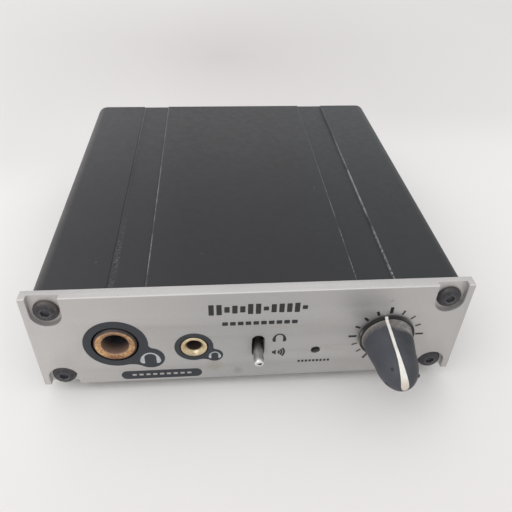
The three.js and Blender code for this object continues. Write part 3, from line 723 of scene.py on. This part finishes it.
def moved(shape, x=0.0, y=0.0, z=0.0, turn=None):
    """The shape turned about the origin, then moved."""
    shape.transform(Matrix.Translation((x, y, z)) @ (turn or Matrix.Identity(4)))
    return shape


def about(axis, degrees):
    return Matrix.Rotation(radians(degrees), 4, axis)


def lathe(corners, at, steps=64, rounding=4, closed=False):
    """A solid turned about a node's middle, along y, from (radius, y, rounding) corners."""
    return moved(turned(rounded(corners, rounding), steps, closed), at.x, 0, at.z)


def joined(shapes):
    """Several separate bodies in one mesh."""
    whole = bmesh.new()
    for shape in shapes:
        mesh = mesh_of(shape, "part")
        whole.from_mesh(mesh)
        bpy.data.meshes.remove(mesh)
    return whole


def mesh_of(shape, name):
    """The shape as a mesh; the shape itself is freed."""
    mesh = bpy.data.meshes.new(name)
    shape.to_mesh(mesh)
    shape.free()
    return mesh


def carved(shape, tool, operation="DIFFERENCE"):
    """The shape with the tool cut away, added or kept in common."""
    a, b = (placed("temporary", mesh_of(body, "temporary")) for body in (shape, tool))
    modifier = a.modifiers.new("carve", "BOOLEAN")
    modifier.operation, modifier.solver, modifier.object = operation, "EXACT", b
    graph = bpy.context.evaluated_depsgraph_get()
    mesh = bpy.data.meshes.new_from_object(a.evaluated_get(graph))
    result = bmesh.new()
    result.from_mesh(mesh)
    for made in (a, b):
        old = made.data
        bpy.data.objects.remove(made)
        bpy.data.meshes.remove(old)
    bpy.data.meshes.remove(mesh)
    bmesh.ops.dissolve_degenerate(result, dist=1e-5, edges=result.edges)
    return result


def piece(name, shape, material, body="chassis", stands_for=(), angle=32):
    """The finished piece: its mesh in the frame's metres, riding on its body."""
    shape.transform(TO_ROW)
    mesh = mesh_of(shape, name)
    mesh.materials.append(material)
    mesh.set_sharp_from_angle(angle=radians(angle))
    made = placed(name, mesh)
    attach(made, body)
    if stands_for:
        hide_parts(*stands_for)


def finer(node, shape, material, body="chassis", angle=32, name=None):
    """The finer piece that is shown in place of a CAD node."""
    piece(f"{name or node}_fine", shape, material, body, [node], angle)


# ---- enclosure
CORNERS = [
    ("upper_left", -1, SCREW.high),
    ("upper_right", 1, SCREW.high),
    ("lower_left", -1, SCREW.low),
    ("lower_right", 1, SCREW.low),
]


def screw_holes(spare=0.0):
    """Outlines of the four corner screws' holes."""
    return [circle(side * SCREW.x, z, PORT.hole + spare, 24) for _, side, z in CORNERS]


def case_outline():
    """The sleeve's section outside: rounded corners and two shallow channels in the top."""
    half, top = CASE.x1, CASE.z1
    floor, lip, foot = top - CHANNEL.depth, CHANNEL.lip, CHANNEL.foot
    right = [(CHANNEL.outer, top, lip), (CHANNEL.outer, floor, foot)]
    right += [(CHANNEL.inner, floor, foot), (CHANNEL.inner, top, lip)]
    left = [(-x, z, radius) for x, z, radius in right[::-1]]
    ends = [(half, CASE.z0, CORNER), (half, top, CORNER)]
    return rounded([(-half, CASE.z0, CORNER), *ends, *right, *left, (-half, top, CORNER)], 10)


def case_bore():
    """The inside: board rails at the foot, side walls, and screw bosses in the upper corners."""
    wall, rail, groove = CASE.x1 - WALL.side, BOARD.x1 - 1.7, BOARD.x1 + 0.3
    boss, shelf = SCREW.x - PORT.boss, SCREW.high - PORT.boss
    right = [(rail, CASE.z0 + WALL.floor), (rail, BOARD.z0), (groove, BOARD.z0), (groove, BOARD.z1 + 0.1)]
    right += [(rail, BOARD.z1 + 0.1), (rail, BOARD.z1 + 1.5), (wall, BOARD.z1 + 1.5), (wall, shelf)]
    right += [(boss, shelf), (boss, CASE.z1 - WALL.roof)]
    return points(*right, *((-x, z) for x, z in right[::-1]))


def case_sleeve():
    shape = plate(case_outline(), [case_bore(), *screw_holes()], edge_steps(CASE.y0, CASE.y1, 0.08))
    finer("case_sleeve", shape, CASE_BLACK, angle=28)


def pocket_tool(side, upper):
    """Cutter for a screw pocket: half round towards the middle, open at the edge, with an eased lip."""
    x, half, lip = side * SCREW.x, POCKET.half, 0.16
    if upper:
        beyond = PANEL.z1 + 2
        outline = arc(x, POCKET.high, half, 180, 360, 32) + points((x + half, beyond), (x - half, beyond))
    else:
        beyond = PANEL.z0 - 2
        outline = arc(x, POCKET.low, half, 0, 180, 32) + points((x - half, beyond), (x + half, beyond))
    steps = [(-lip, -1), (-lip, 0), (-lip * EASE, lip * EASE), (0, lip), (0, POCKET.depth)]
    return plate(outline, [], steps)


def front_panel():
    outline = rectangle(PANEL.x0, PANEL.x1, PANEL.z0, PANEL.z1, 0.2, 3)
    round_holes = [(BIG_JACK, BIG_HOLE, 96), (SMALL_JACK, SMALL_HOLE, 72), (LAMP, LAMP_HOLE, 40)]
    round_holes.append((DIAL, DIAL_HOLE, 64))
    holes = [circle(at.x, at.z, radius, steps) for at, radius, steps in round_holes]
    holes += [upright_slot(SLOT_MIDDLE.x, SLOT_MIDDLE.z, SLOT.half, SLOT.tall), *screw_holes(0.15)]
    shape = plate(outline, holes, edge_steps(PANEL.y0, PANEL.y1, 0.14))
    for side in (-1, 1):
        for upper in (True, False):
            shape = carved(shape, pocket_tool(side, upper))
    finer("front_panel", shape, ALUMINIUM)


def rear_panel():
    usb, inlet, slider = span("usb_socket_shell"), span("power_jack_pin"), span("power_switch_slider")
    holes = [circle(at.x, at.z, LINE_HOLE) for at in (span("rca_left_shell"), span("rca_right_shell"))]
    gap = USB_SPARE
    holes.append(rectangle(usb.x0 - gap, usb.x1 + gap, usb.z0 - gap, usb.z1 + gap, 0.3))
    holes.append(circle(inlet.x, inlet.z, INLET_HOLE))
    x, z = span("power_switch_body").x, slider.z
    holes.append(rectangle(x - SLIDE.half, x + SLIDE.half, z - SLIDE.tall, z + SLIDE.tall, 0.4))
    outline = rectangle(REAR.x0, REAR.x1, REAR.z0, REAR.z1, CORNER, 12)
    shape = plate(outline, holes + screw_holes(0.1), edge_steps(REAR.y0, REAR.y1, 0.15))
    finer("rear_panel", shape, REAR_BLACK)


# ---- screws and feet
def button_screw(radius, turn):
    """Button-head screw about the y axis, seated on y = 0, with a hex socket turned by an angle."""
    h, shank, lip = SCREW.height, SCREW.shank, 0.12
    dome = [(0, -h), (0.5 * radius, -h)]
    for degrees in range(15, 91, 15):
        a = radians(degrees)
        dome.append((radius * (0.5 + 0.5 * sin(a)), -0.12 * h - 0.88 * h * cos(a)))
    stem = [(radius, -0.04 * h), (0.97 * radius, 0), (shank, 0), (shank, 7.4), (shank - 0.5, 8), (0, 8)]
    steps = [(-lip, -h - 1), (-lip, -h), (0, -h + lip), (0, -h + 0.9), (0.9, -h + 1.25)]
    socket = plate(circle(0, 0, SCREW.socket, 6), [], steps)
    return carved(turned(dome + stem, 56), moved(socket, turn=about("Y", turn)))


def screws():
    for number, (word, side, z) in enumerate(CORNERS):
        front = moved(button_screw(SCREW.head, 11 + 17 * number), side * SCREW.x, POCKET.depth, z)
        finer(f"front_screw_{word}", front, SCREW_BLACK)
        back = button_screw(SCREW.rear_head, 5 + 23 * number)
        back = moved(back, side * SCREW.x, REAR.y1, z, about("Z", 180))
        finer(f"rear_screw_{word}", back, SCREW_BLACK)


def feet():
    """Rubber feet: slightly flared, with a dished underside and a moulded step."""
    for node in ("foot_front_left", "foot_front_right", "foot_back_left", "foot_back_right"):
        at = span(node)
        r, height = at.x1 - at.x, at.z1 - at.z0
        corners = [(0, 0.35, 0), (0.45 * r, 0.35, 0.2), (0.55 * r, 0, 0.25), (0.9 * r, 0, 0.45)]
        corners += [(0.96 * r, 1, 0.3), (r, 1.3, 0.15), (r, height, 0.2), (0, height, 0)]
        shape = moved(turned(rounded(corners, 4)), at.x, at.y, at.z0, about("X", 90))
        finer(node, shape, RUBBER)


# ---- jacks, switch and lamp on the front
def large_collar():
    """Copper ring around the large jack: a rounded shoulder, a gently dished face and a bore."""
    outer, bore, back = BIG_JACK.x1 - BIG_JACK.x, 3.3, BIG_JACK.y1
    corners = [(outer, back, 0), (outer, 0.05, 0.25), (4.72, -0.45, 0.3), (4.2, -0.45, 0.4)]
    corners += [(bore, -0.02, 0.16), (bore, back, 0)]
    shape = lathe(corners, BIG_JACK, 96, closed=True)
    finer("phone_jack_large_collar", shape, COPPER, name="large_jack_collar")


def small_ring():
    """Gold ring of the small jack: a rounded rim, a shallow step and a flared mouth."""
    outer, back = SMALL_JACK.x1 - SMALL_JACK.x, SMALL_JACK.y1
    corners = [(outer, back, 0), (outer, -0.2, 0.22), (2.66, -0.2, 0.16), (2.52, 0, 0.06)]
    corners += [(2.36, 0, 0.08), (1.82, 0.72, 0.25), (1.8, back, 0)]
    shape = lathe(corners, SMALL_JACK, 96, closed=True)
    finer("phone_jack_small_ring", shape, GOLD, name="small_jack_ring")


def toggle_lever():
    """Round lever, a little thicker at its domed tip, growing out of its ball."""
    r, tip, ball, neck = TOGGLE.radius, TOGGLE.reach, TOGGLE.ball, TOGGLE.neck
    profile = points((0, -tip), (0.35 * r, -tip + 0.03))
    for degrees in range(20, 91, 10):
        a = radians(degrees)
        profile += points((r * (0.3 + 0.7 * sin(a)), -tip + 0.62 * (1 - cos(a))))
    profile += points((r, -tip + 1.4), (1.2, -6.2), (neck, -3.2))
    start = math.degrees(math.asin(neck / ball))
    for i in range(15):
        a = radians(start + (180 - start) * i / 14)
        profile += points((ball * sin(a) if i < 14 else 0, -ball * cos(a)))
    shape = moved(turned(profile, 48), SLOT_MIDDLE.x, TOGGLE.pivot, SLOT_MIDDLE.z, about("X", TOGGLE.tilt))
    finer("toggle_lever", shape, LEVER, "toggle", 50)


def toggle_bushing():
    """Dark steel ring behind the slot, round the lever."""
    at, outer, bore = SLOT_MIDDLE, BUSHING.outer, BUSHING.bore
    corners = [(outer, at.y1, 0), (outer, at.y0, 0.2), (bore, at.y0, 0.2), (bore, at.y1, 0)]
    shape = lathe(corners, at, 48, closed=True)
    finer("toggle_switch_bushing", shape, DARK_STEEL, name="toggle_bushing")


def lamp():
    """Unlit lens with a domed front and a wider collar behind."""
    corners = [(0, 0.9, 0), (0.7, 1, 0.4), (1, 1.7, 0.3), (1, 3.4, 0)]
    corners += [(1.5, 3.4, 0.1), (1.5, LAMP.y1, 0.1), (0, LAMP.y1, 0)]
    finer("indicator_led", lathe(corners, LAMP, 40), LENS)


# ---- volume knob
def knob_side(depth):
    """Profile of the knob's dome and side, tip first, moved inwards by a depth."""
    form = KNOB_FORM
    length = form.reach - form.shoulder - depth
    profile = []
    for i in range(25):
        a = radians(90 * i / 24)
        profile += points(((form.dome - depth) * sin(a), -form.shoulder - length * cos(a)))
    for i in range(1, 9):
        t = 1 - i / 8
        y = form.foot + (form.shoulder - form.foot) * t
        radius = form.base + (form.dome - form.base) * t + form.bulge * 4 * t * (1 - t)
        profile += points((radius - depth, -y))
    profile[0] = Vector((0, profile[0].y))
    return profile


def knob_form():
    """The knob's outer form: dome, side, a small cove and a thin rounded skirt."""
    front, back, rim = SKIRT.front, SKIRT.back, SKIRT.radius
    profile = knob_side(0)
    foot = profile[-1].x
    profile[-1] = Vector((foot, -front - 0.2))
    profile += points((foot + 0.04, -front - 0.08), (foot + 0.12, -front), (rim - 0.15, -front))
    profile += points((rim - 0.04, -front + 0.05), (rim, -front + 0.15), (rim, -back - 0.1))
    return turned(profile + points((rim - 0.1, -back), (0, -back)), 120)


def knob_core(depth):
    """What lies under the inlay."""
    profile = knob_side(depth)
    return turned(profile + points((profile[-1].x, 0), (0, 0)), 120)


def pointer_tool(margin):
    """Cutter for the inlay: narrow from the skirt onwards, swelling late into a rounded drop."""
    reach, above = KNOB_FORM.reach, 9
    narrow, waist, wide = INLAY.narrow + margin, INLAY.waist + margin, INLAY.wide + margin
    start, bend, end = points((narrow, 9), (waist, reach - 2.4), (wide, reach))
    right = points((narrow, 0))
    for i in range(15):
        t = i / 14
        right.append(start * (1 - t) ** 2 + bend * 2 * t * (1 - t) + end * t * t)
    right += points((wide, reach + 1))
    left = points(*((-point.x, point.y) for point in right[::-1]))
    stem = plate(right + left, [], [(0, -above), (0, above)])
    moved(stem, turn=Matrix(((1, 0, 0, 0), (0, 0, -1, 0), (0, 1, 0, 0), (0, 0, 0, 1))))
    drop = points((wide, above), (-wide, above))
    for i in range(25):
        a = pi * i / 24
        drop += points((-wide * cos(a), INLAY.start - (INLAY.long + margin) * sin(a)))
    return carved(stem, plate(drop, [], [(0, -reach - 2), (0, 0)]), "INTERSECT")


def chip(angle, forwards, size, sink):
    """A small rounded lump or dent's tool, centred near the knob's surface at an angle."""
    form = KNOB_FORM
    share = min(1.0, max(0.0, (forwards - form.shoulder) / (form.reach - form.shoulder)))
    radius = form.dome * sqrt(1 - share * share) + sink
    a = radians(angle)
    made = bmesh.new()
    bmesh.ops.create_icosphere(made, subdivisions=2, radius=size)
    for i, vert in enumerate(made.verts):
        vert.co *= 1 + 0.18 * sin(7.3 * i)
    return moved(made, radius * cos(a), -forwards, radius * sin(a))


def knob():
    """The knob and its inlay, with two nicks and a small burr in the coating."""
    place, turn = (DIAL.x, 0, DIAL.z), about("Y", 90 - POINTER_ANGLE)
    depth, gap = INLAY.depth, INLAY.gap
    body = carved(knob_form(), carved(pointer_tool(gap), knob_core(depth + gap)))
    hub = turned([(0, -HUB.depth), (HUB.radius, -HUB.depth), (HUB.radius, 0), (0, 0)])
    body = moved(carved(body, hub), *place, turn)
    nicks = [(132, 13.2, 0.28, 0.14, "DIFFERENCE"), (205, 14.0, 0.75, 0.15, "DIFFERENCE")]
    for *where, operation in (*nicks, (-4, 12.7, 0.5, -0.08, "UNION")):
        body = carved(body, moved(chip(*where), *place), operation)
    finer("knob_body", body, SOFT_TOUCH, "knob", 40)
    inlay = carved(carved(knob_form(), pointer_tool(0), "INTERSECT"), knob_core(depth))
    finer("knob_pointer", moved(inlay, *place, turn), IVORY, "knob", 40)


# ---- printed marks on the front panel
def mark(outer, holes=()):
    """A thin printed patch, sunk a little into the panel's face."""
    return plate(outer, holes, [(0, -INK.proud), (0, INK.proud)])


def printed(name, outlines):
    """Several marks in the black ink as one piece."""
    piece(name, joined([mark(outline) for outline in outlines]), INK_BLACK)


def dashes(count, first, step, width, z0, z1, radius):
    """Outlines of a row of short dashes."""
    return [rectangle(x, x + width, z0, z1, radius, 2) for x in (first + step * i for i in range(count))]


def lobed(x, z, radius, lobe_x, lobe_z, lobe_radius, upper, lower):
    """A circle with a smaller lobe at its lower right, joined by two hollow curves."""
    one, two = points((x, z), (lobe_x, lobe_z))
    between = two - one

    def join(hollow, side):
        """The middle of a hollow curve, and its points on the circle and the lobe."""
        a, b, d = radius + hollow, lobe_radius + hollow, between.length
        along = (a * a - b * b + d * d) / (2 * d)
        across = sqrt(max(a * a - along * along, 0))
        ahead = between.normalized()
        middle = one + ahead * along + Vector((-ahead.y, ahead.x)) * across * side
        on_two = two + (middle - two).normalized() * lobe_radius
        return middle, one + (middle - one).normalized() * radius, on_two

    def sweep(centre, size, start, end, steps, back=0):
        """An arc between two points, forwards by default and the short way when back is 180."""
        first, last = (math.degrees(math.atan2(p.y - centre.y, p.x - centre.x)) for p in (start, end))
        return arc(*centre, size, first, first + (last - first + back) % 360 - back, steps)

    top, top_big, top_small = join(upper, 1)
    low, low_big, low_small = join(lower, -1)
    outline = sweep(one, radius, top_big, low_big, 90)
    outline += sweep(low, lower, low_big, low_small, 10, 180)[1:]
    outline += sweep(two, lobe_radius, low_small, top_small, 40)[1:]
    return outline + sweep(top, upper, top_small, top_big, 10, 180)[1:-1]


def headphone_sign(x, z, width, cup_share=0.215, band_share=0.085, tall=0.75):
    """Outline of a headphone sign: a thin arch swelling into two ear cups. z is its lower edge."""
    half, rise = width / 2, tall * width
    inner, low, high, heel = half - cup_share * width, 0.13 * width, 0.42 * width, 0.09 * width

    def arch(reach, foot, height, steps):
        turns = (pi * i / steps for i in range(steps + 1))
        return points(*((x + reach * cos(a), z + foot + height * sin(a)) for a in turns))

    over = arch(half, low, rise - low, 28) + points((x - half + heel, z), (x - inner, z))
    under = arch(-inner, high, rise - band_share * width - high, 20)
    return over + under + points((x + inner, z), (x + half - heel, z))


def jack_marks():
    """A dark ring with a lobe round each jack, a headphone sign in it, and a pill of dashes."""
    big, small = (BIG_JACK, BIG_HOLE, 96), (SMALL_JACK, SMALL_HOLE, 72)
    rings = [
        ("large", big, (0.12, 0.08), (7.68, -25.1, 8.5, 3.52, 1.3, 5.0), (-25.15, 6.6, 5.1)),
        ("small", small, (0, 0), (4.74, -9.35, 8.6, 2.12, 0.7, 3.0), (-9.3, 7.5, 3.1)),
    ]
    for word, (jack, hole, steps), (right, up), form, place in rings:
        sign = headphone_sign(*place)
        holes = [circle(jack.x, jack.z, hole + INK.gap, steps), sign]
        piece(f"{word}_jack_mark", mark(lobed(jack.x + right, jack.z + up, *form), holes), INK_DARK)
        piece(f"{word}_jack_sign", mark(sign), INK_WHITE)
    x, z, half, tall = -22.8, 2.35, 10.1, 1.5
    pill = rectangle(x - half, x + half, z - tall, z + tall, tall - 0.01, 12)
    piece("pill_mark", mark(pill, dashes(9, x - 7.4, 1.72, 1.04, 2.0, 2.7, 0.1)), INK_DARK)


def level_bars():
    """A generic row of level bars, with two thin rules of dashes below."""
    bars, count, middle, half = [], 13, 23.95, 0.62
    for i in range(count):
        x = -9.8 + i * (22.0 / (count - 1))
        tall = 1.25 + 0.7 * sin(1.9 * i + 0.6) * cos(0.5 * i)
        bars.append(rectangle(x - half, x + half, middle - tall, middle + tall, 0.15, 2))
    printed("level_bars_mark", bars)
    printed("lower_rule_mark", dashes(10, -7.3, 1.85, 1.35, 18.75, 19.9, 0.15))
    printed("lamp_rule_mark", dashes(9, 11.7, 0.95, 0.62, 4.6, 5.35, 0.1))


def switch_marks():
    """A headphone sign above, and a loudspeaker sign with three waves below."""
    piece("headphone_mark", mark(headphone_sign(6.63, 12.5, 3.5, 0.245, 0.11, 0.8)), INK_BLACK)
    x, z, spread = 5.0, 8.7, 42
    lower = points((x, z - 0.4), (x + 0.4, z - 0.42), (x + 0.95, z - 0.95))
    signs = [lower + [Vector((p.x, 2 * z - p.y)) for p in lower[::-1]]]
    for reach in (0.75, 1.4, 2.05):
        outer, inner = (arc(x + 0.95, z, reach + side, -spread, spread, 14) for side in (0.28, -0.22))
        signs.append(outer + inner[::-1])
    printed("loudspeaker_mark", signs)


def dial_marks():
    """Scale around the knob: (angle, width) of each tick, from the lower left over the top."""
    start, short, long = 7.46, 8.85, 9.5
    dark = [(0, 0.55), (67.5, 0.46), (90, 0.82), (112.5, 0.66), (135, 0.66), (157.5, 0.6), (180, 0.68)]
    grey = [(-60, 0.4), (-40, 0.4), (22.5, 0.52), (45, 0.46), (200, 0.5), (220, 0.46), (240, 0.66)]
    for name, ticks, ink in (("dial_mark_upper", dark, INK_BLACK), ("dial_mark_lower", grey, INK_GREY)):
        shapes = []
        for angle, width in ticks:
            reach = long if angle in (0, 90, 180, -60, 240) else short
            shape = mark(rectangle(-width / 2, width / 2, start, reach, 0.08, 2))
            shapes.append(moved(shape, DIAL.x, 0, DIAL.z, about("Y", 90 - angle)))
        piece(name, joined(shapes), ink)


# ---- connectors on the back
def phono_jack(side, insert_material):
    """Line-out jack: a steel shell with a flange at the panel, and a plastic insert with a contact hole."""
    at = span(f"rca_{side}_shell")
    back, end, wall, contact = REAR.y1, at.y1, 0.55, 1.65
    outer, floor = at.x1 - at.x, back + 0.6
    seat, neck, bore = outer - 0.4, outer - 0.25, outer - wall
    corners = [(0, at.y0, 0), (seat, at.y0, 0), (seat, back - 0.1, 0), (seat, back + 0.02, 0)]
    corners += [(outer, back + 0.05, 0.06), (outer, back + 1.4, 0.08), (neck, back + 1.6, 0.08)]
    corners += [(neck, end - 0.5, 0.15), (seat, end, 0.12), (bore - 0.1, end, 0.12)]
    corners += [(bore, end - 0.4, 0.1), (bore, floor, 0), (0, floor, 0)]
    finer(f"rca_{side}_shell", lathe(corners, at, 72, 3), STEEL)
    inner, end = bore - 0.05, end - 0.8
    corners = [(0, floor, 0), (inner, floor, 0), (inner, end, 0.2), (contact + 0.35, end, 0.15)]
    corners += [(contact, end - 0.4, 0.12), (contact, floor + 1.5, 0), (0, floor + 1.5, 0)]
    finer(f"rca_{side}_insert", lathe(corners, at, 64, 3), insert_material)


def usb_socket():
    """Square metal shell with a D-shaped mouth and a tongue with four contacts."""
    at, tongue = span("usb_socket_shell"), span("usb_socket_tongue")
    wide, tall, cut, lip = 8.5 / 2, 7.8 / 2, 1.8, 0.25
    mouth = [(-wide, -tall), (wide, -tall), (wide, tall - cut)]
    mouth += [(wide - cut, tall), (-wide + cut, tall), (-wide, tall - cut)]
    outline = rounded([(at.x + x, at.z + z, 0.35) for x, z in mouth], 4)
    shell = bar(rectangle(at.x0, at.x1, at.z0, at.z1, 0.7, 5), at.y0, at.y1, 0.25)
    steps = [(0, tongue.y0), (0, at.y1 - lip), (-lip * EASE, at.y1 - lip * EASE)]
    shell = carved(shell, plate(outline, [], [*steps, (-lip, at.y1), (-lip, at.y1 + 1)]))
    finer("usb_socket_shell", shell, STEEL)
    finer("usb_socket_tongue", block_of(tongue, 0.25), WHITE_PLASTIC)
    contacts, end = [], tongue.y1 - 1.2
    for x in (tongue.x - 1.3, tongue.x + 1.3):
        for z0, z1 in ((tongue.z1 - 0.1, tongue.z1 + 0.12), (tongue.z0 - 0.12, tongue.z0 + 0.1)):
            contacts.append(block(x - 0.6, x + 0.6, tongue.y0, end, z0, z1, 0.05))
    piece("usb_socket_contacts", joined(contacts), GOLD)


def power_inlet():
    """Round low-voltage inlet: a collar through the rear panel around a centre pin."""
    at, pin = span("power_jack_body"), span("power_jack_pin")
    bore, collar, lip = 3.2, 3.5, 0.15
    box = block(at.x0, at.x1, at.y0, REAR.y0, at.z0, at.z1, 0.2)
    start, end = REAR.y0 - 1, at.y1
    corners = [(0, start, 0), (collar, start, 0), (collar, end, 0.15), (bore - 0.4, end, 0), (0, end, 0)]
    well = [(0, REAR.y0 - 8), (bore, REAR.y0 - 8), (bore, end - lip), (bore + lip, end + 0.01)]
    well += [(bore + lip, end + 2), (0, end + 2)]
    shape = carved(box, lathe(corners, pin), "UNION")
    shape = carved(shape, moved(turned(well), pin.x, 0, pin.z))
    finer("power_jack_body", shape, BLACK_PLASTIC)
    radius = pin.x1 - pin.x
    corners = [(0, pin.y0, 0), (radius, pin.y0, 0), (radius, pin.y1, 0.45), (0, pin.y1, 0)]
    finer("power_jack_pin", lathe(corners, pin, 40, 6), BRIGHT_PIN)


def power_switch():
    """Slide switch: a body with a well behind the rear panel, and a slider with five grip notches."""
    body, slider = span("power_switch_body"), span("power_switch_slider")
    x, z, y = body.x, slider.z, REAR.y0
    well = block(x - SLIDE.half, x + SLIDE.half, y - 3, y + 2, z - SLIDE.tall, z + SLIDE.tall, 0.2)
    finer("power_switch_body", carved(block_of(body, 0.2), well), BLACK_PLASTIC)
    cap = block_of(slider, 0.25)
    for i in range(5):
        x = slider.x + (i - 2) * 0.8
        y, z0, z1 = slider.y1, slider.z0 - 1, slider.z1 + 1
        cap = carved(cap, block(x - 0.17, x + 0.17, y - 0.4, y + 1, z0, z1, 0.05))
    finer("power_switch_slider", cap, BLACK_PLASTIC, "power_slider")


# ---- CAD nodes inside the case that keep their shape
def inner_nodes():
    """Their materials, each with the nodes that wear it."""
    looks = [
        (BOARD_GREEN, "main_board"),
        (BORE_BROWN, "phone_jack_large_body phone_jack_small_body"),
        (BLACK_PLASTIC, "toggle_switch_body led_holder rca_housing"),
        (FIN_ALUMINIUM, "volume_pot_body heat_sink"),
        (STEEL, "volume_pot_bushing volume_pot_shaft"),
        (CHIP, "op_amp_socket_left op_amp_socket_right op_amp_chip_left op_amp_chip_right"),
        (CHIP, "usb_receiver_chip converter_chip regulator"),
        (WHITE_PLASTIC, "output_relay"),
        (BRIGHT_PIN, "crystal"),
        (COIL, "inductor"),
        (SLEEVE_BLUE, " ".join(f"smoothing_capacitor_{i}" for i in range(1, 6))),
    ]
    for material, nodes in looks:
        for node in nodes.split():
            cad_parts[node].material_slots[0].material = material


# ---- floor and light
def make_floor():
    """A wide pale floor at the feet, a little darker where the light falls off."""
    made = bmesh.new()
    size, depth = 3000, PANEL.z0 - span("foot_front_left").z0
    sides = ((-size, -size), (size, -size), (size, size), (-size, size))
    made.faces.new([made.verts.new((x, y, -depth)) for x, y in sides])
    made.transform(TO_ROW)
    mesh = mesh_of(made, "floor")
    mesh.materials.append(floor_finish())
    placed("floor", mesh)


def floor_finish():
    """Off-white with painted shade, a little greyer in front, to the sides and behind, with a painted
    shadow behind the case, and even far away.
    """
    f = Finish("pale_floor", 0.7)
    f.coat(f.fit(f.noise(0.004, 3), 0.3, 0.7), (240, 238, 235), (245, 243, 240))
    # painted shade: greyer towards the right, away from the lamp
    to_right = f.fit(f.x, -40, 90)
    f.paint(f.times(to_right, 0.6), (234, 231, 228))
    f.paint(f.fit(f.y, 5, -40, 0, 0.9), (229, 226, 223))
    f.paint(f.fit(f.y, 100, 300, 0, 0.5), (216, 213, 210))
    f.paint(f.times(to_right, f.fit(f.y, 135, 175, 0, 0.5)), (218, 216, 214))
    f.paint(f.times(f.fit(f.x, -40, -100), f.fit(f.y, 95, 130, 0, 0.6)), (226, 224, 222))
    # painted shadow: a soft dark patch on the floor behind the case
    across = f.math("POWER", f.times(f.x, 1.2), 2)
    along = f.math("POWER", f.minus(f.y, 265), 2)
    behind = f.fall(f.math("SQRT", f.plus(across, along)), 0, 260)
    f.paint(f.times(f.math("POWER", behind, 1.5), 0.8), (200, 196, 193))
    f.paint(f.fit(f.away((0, 100, 0)), 380, 620), (226, 224, 221))
    return f.material


def make_light():
    """An even sky, brightest overhead, and one large soft lamp from the upper left."""
    world = bpy.data.worlds.new("studio")
    bpy.context.scene.world = world
    world.use_nodes = True
    nodes, links = world.node_tree.nodes, world.node_tree.links
    place = nodes.new("ShaderNodeTexCoord")
    lean = nodes.new("ShaderNodeVectorMath")
    lean.operation = "DOT_PRODUCT"
    lean.inputs[1].default_value = (-0.05, 0.03, 0.2)
    links.new(place.outputs["Generated"], lean.inputs[0])
    glow = nodes.new("ShaderNodeMath")
    glow.operation = "ADD"
    glow.inputs[1].default_value = 0.85
    links.new(lean.outputs["Value"], glow.inputs[0])
    sky = nodes["Background"]
    sky.inputs["Color"].default_value = srgb(250, 250, 252)
    links.new(glow.outputs[0], sky.inputs["Strength"])
    data = bpy.data.lights.new("soft_box", "AREA")
    data.shape, data.size, data.size_y, data.energy = "RECTANGLE", 0.9, 0.7, 2.4
    light = placed("soft_box", data)
    light.location = (-0.5, -0.45, 0.9)
    light.rotation_mode = "QUATERNION"
    light.rotation_quaternion = light.location.to_track_quat("Z", "Y")
    bpy.context.scene.view_settings.view_transform = "Standard"


case_sleeve()
front_panel()
rear_panel()
screws()
feet()
large_collar()
small_ring()
toggle_lever()
toggle_bushing()
lamp()
knob()
jack_marks()
level_bars()
switch_marks()
dial_marks()
phono_jack("left", WHITE_PLASTIC)
phono_jack("right", RED_PLASTIC)
usb_socket()
power_inlet()
power_switch()
inner_nodes()
make_floor()
make_light()
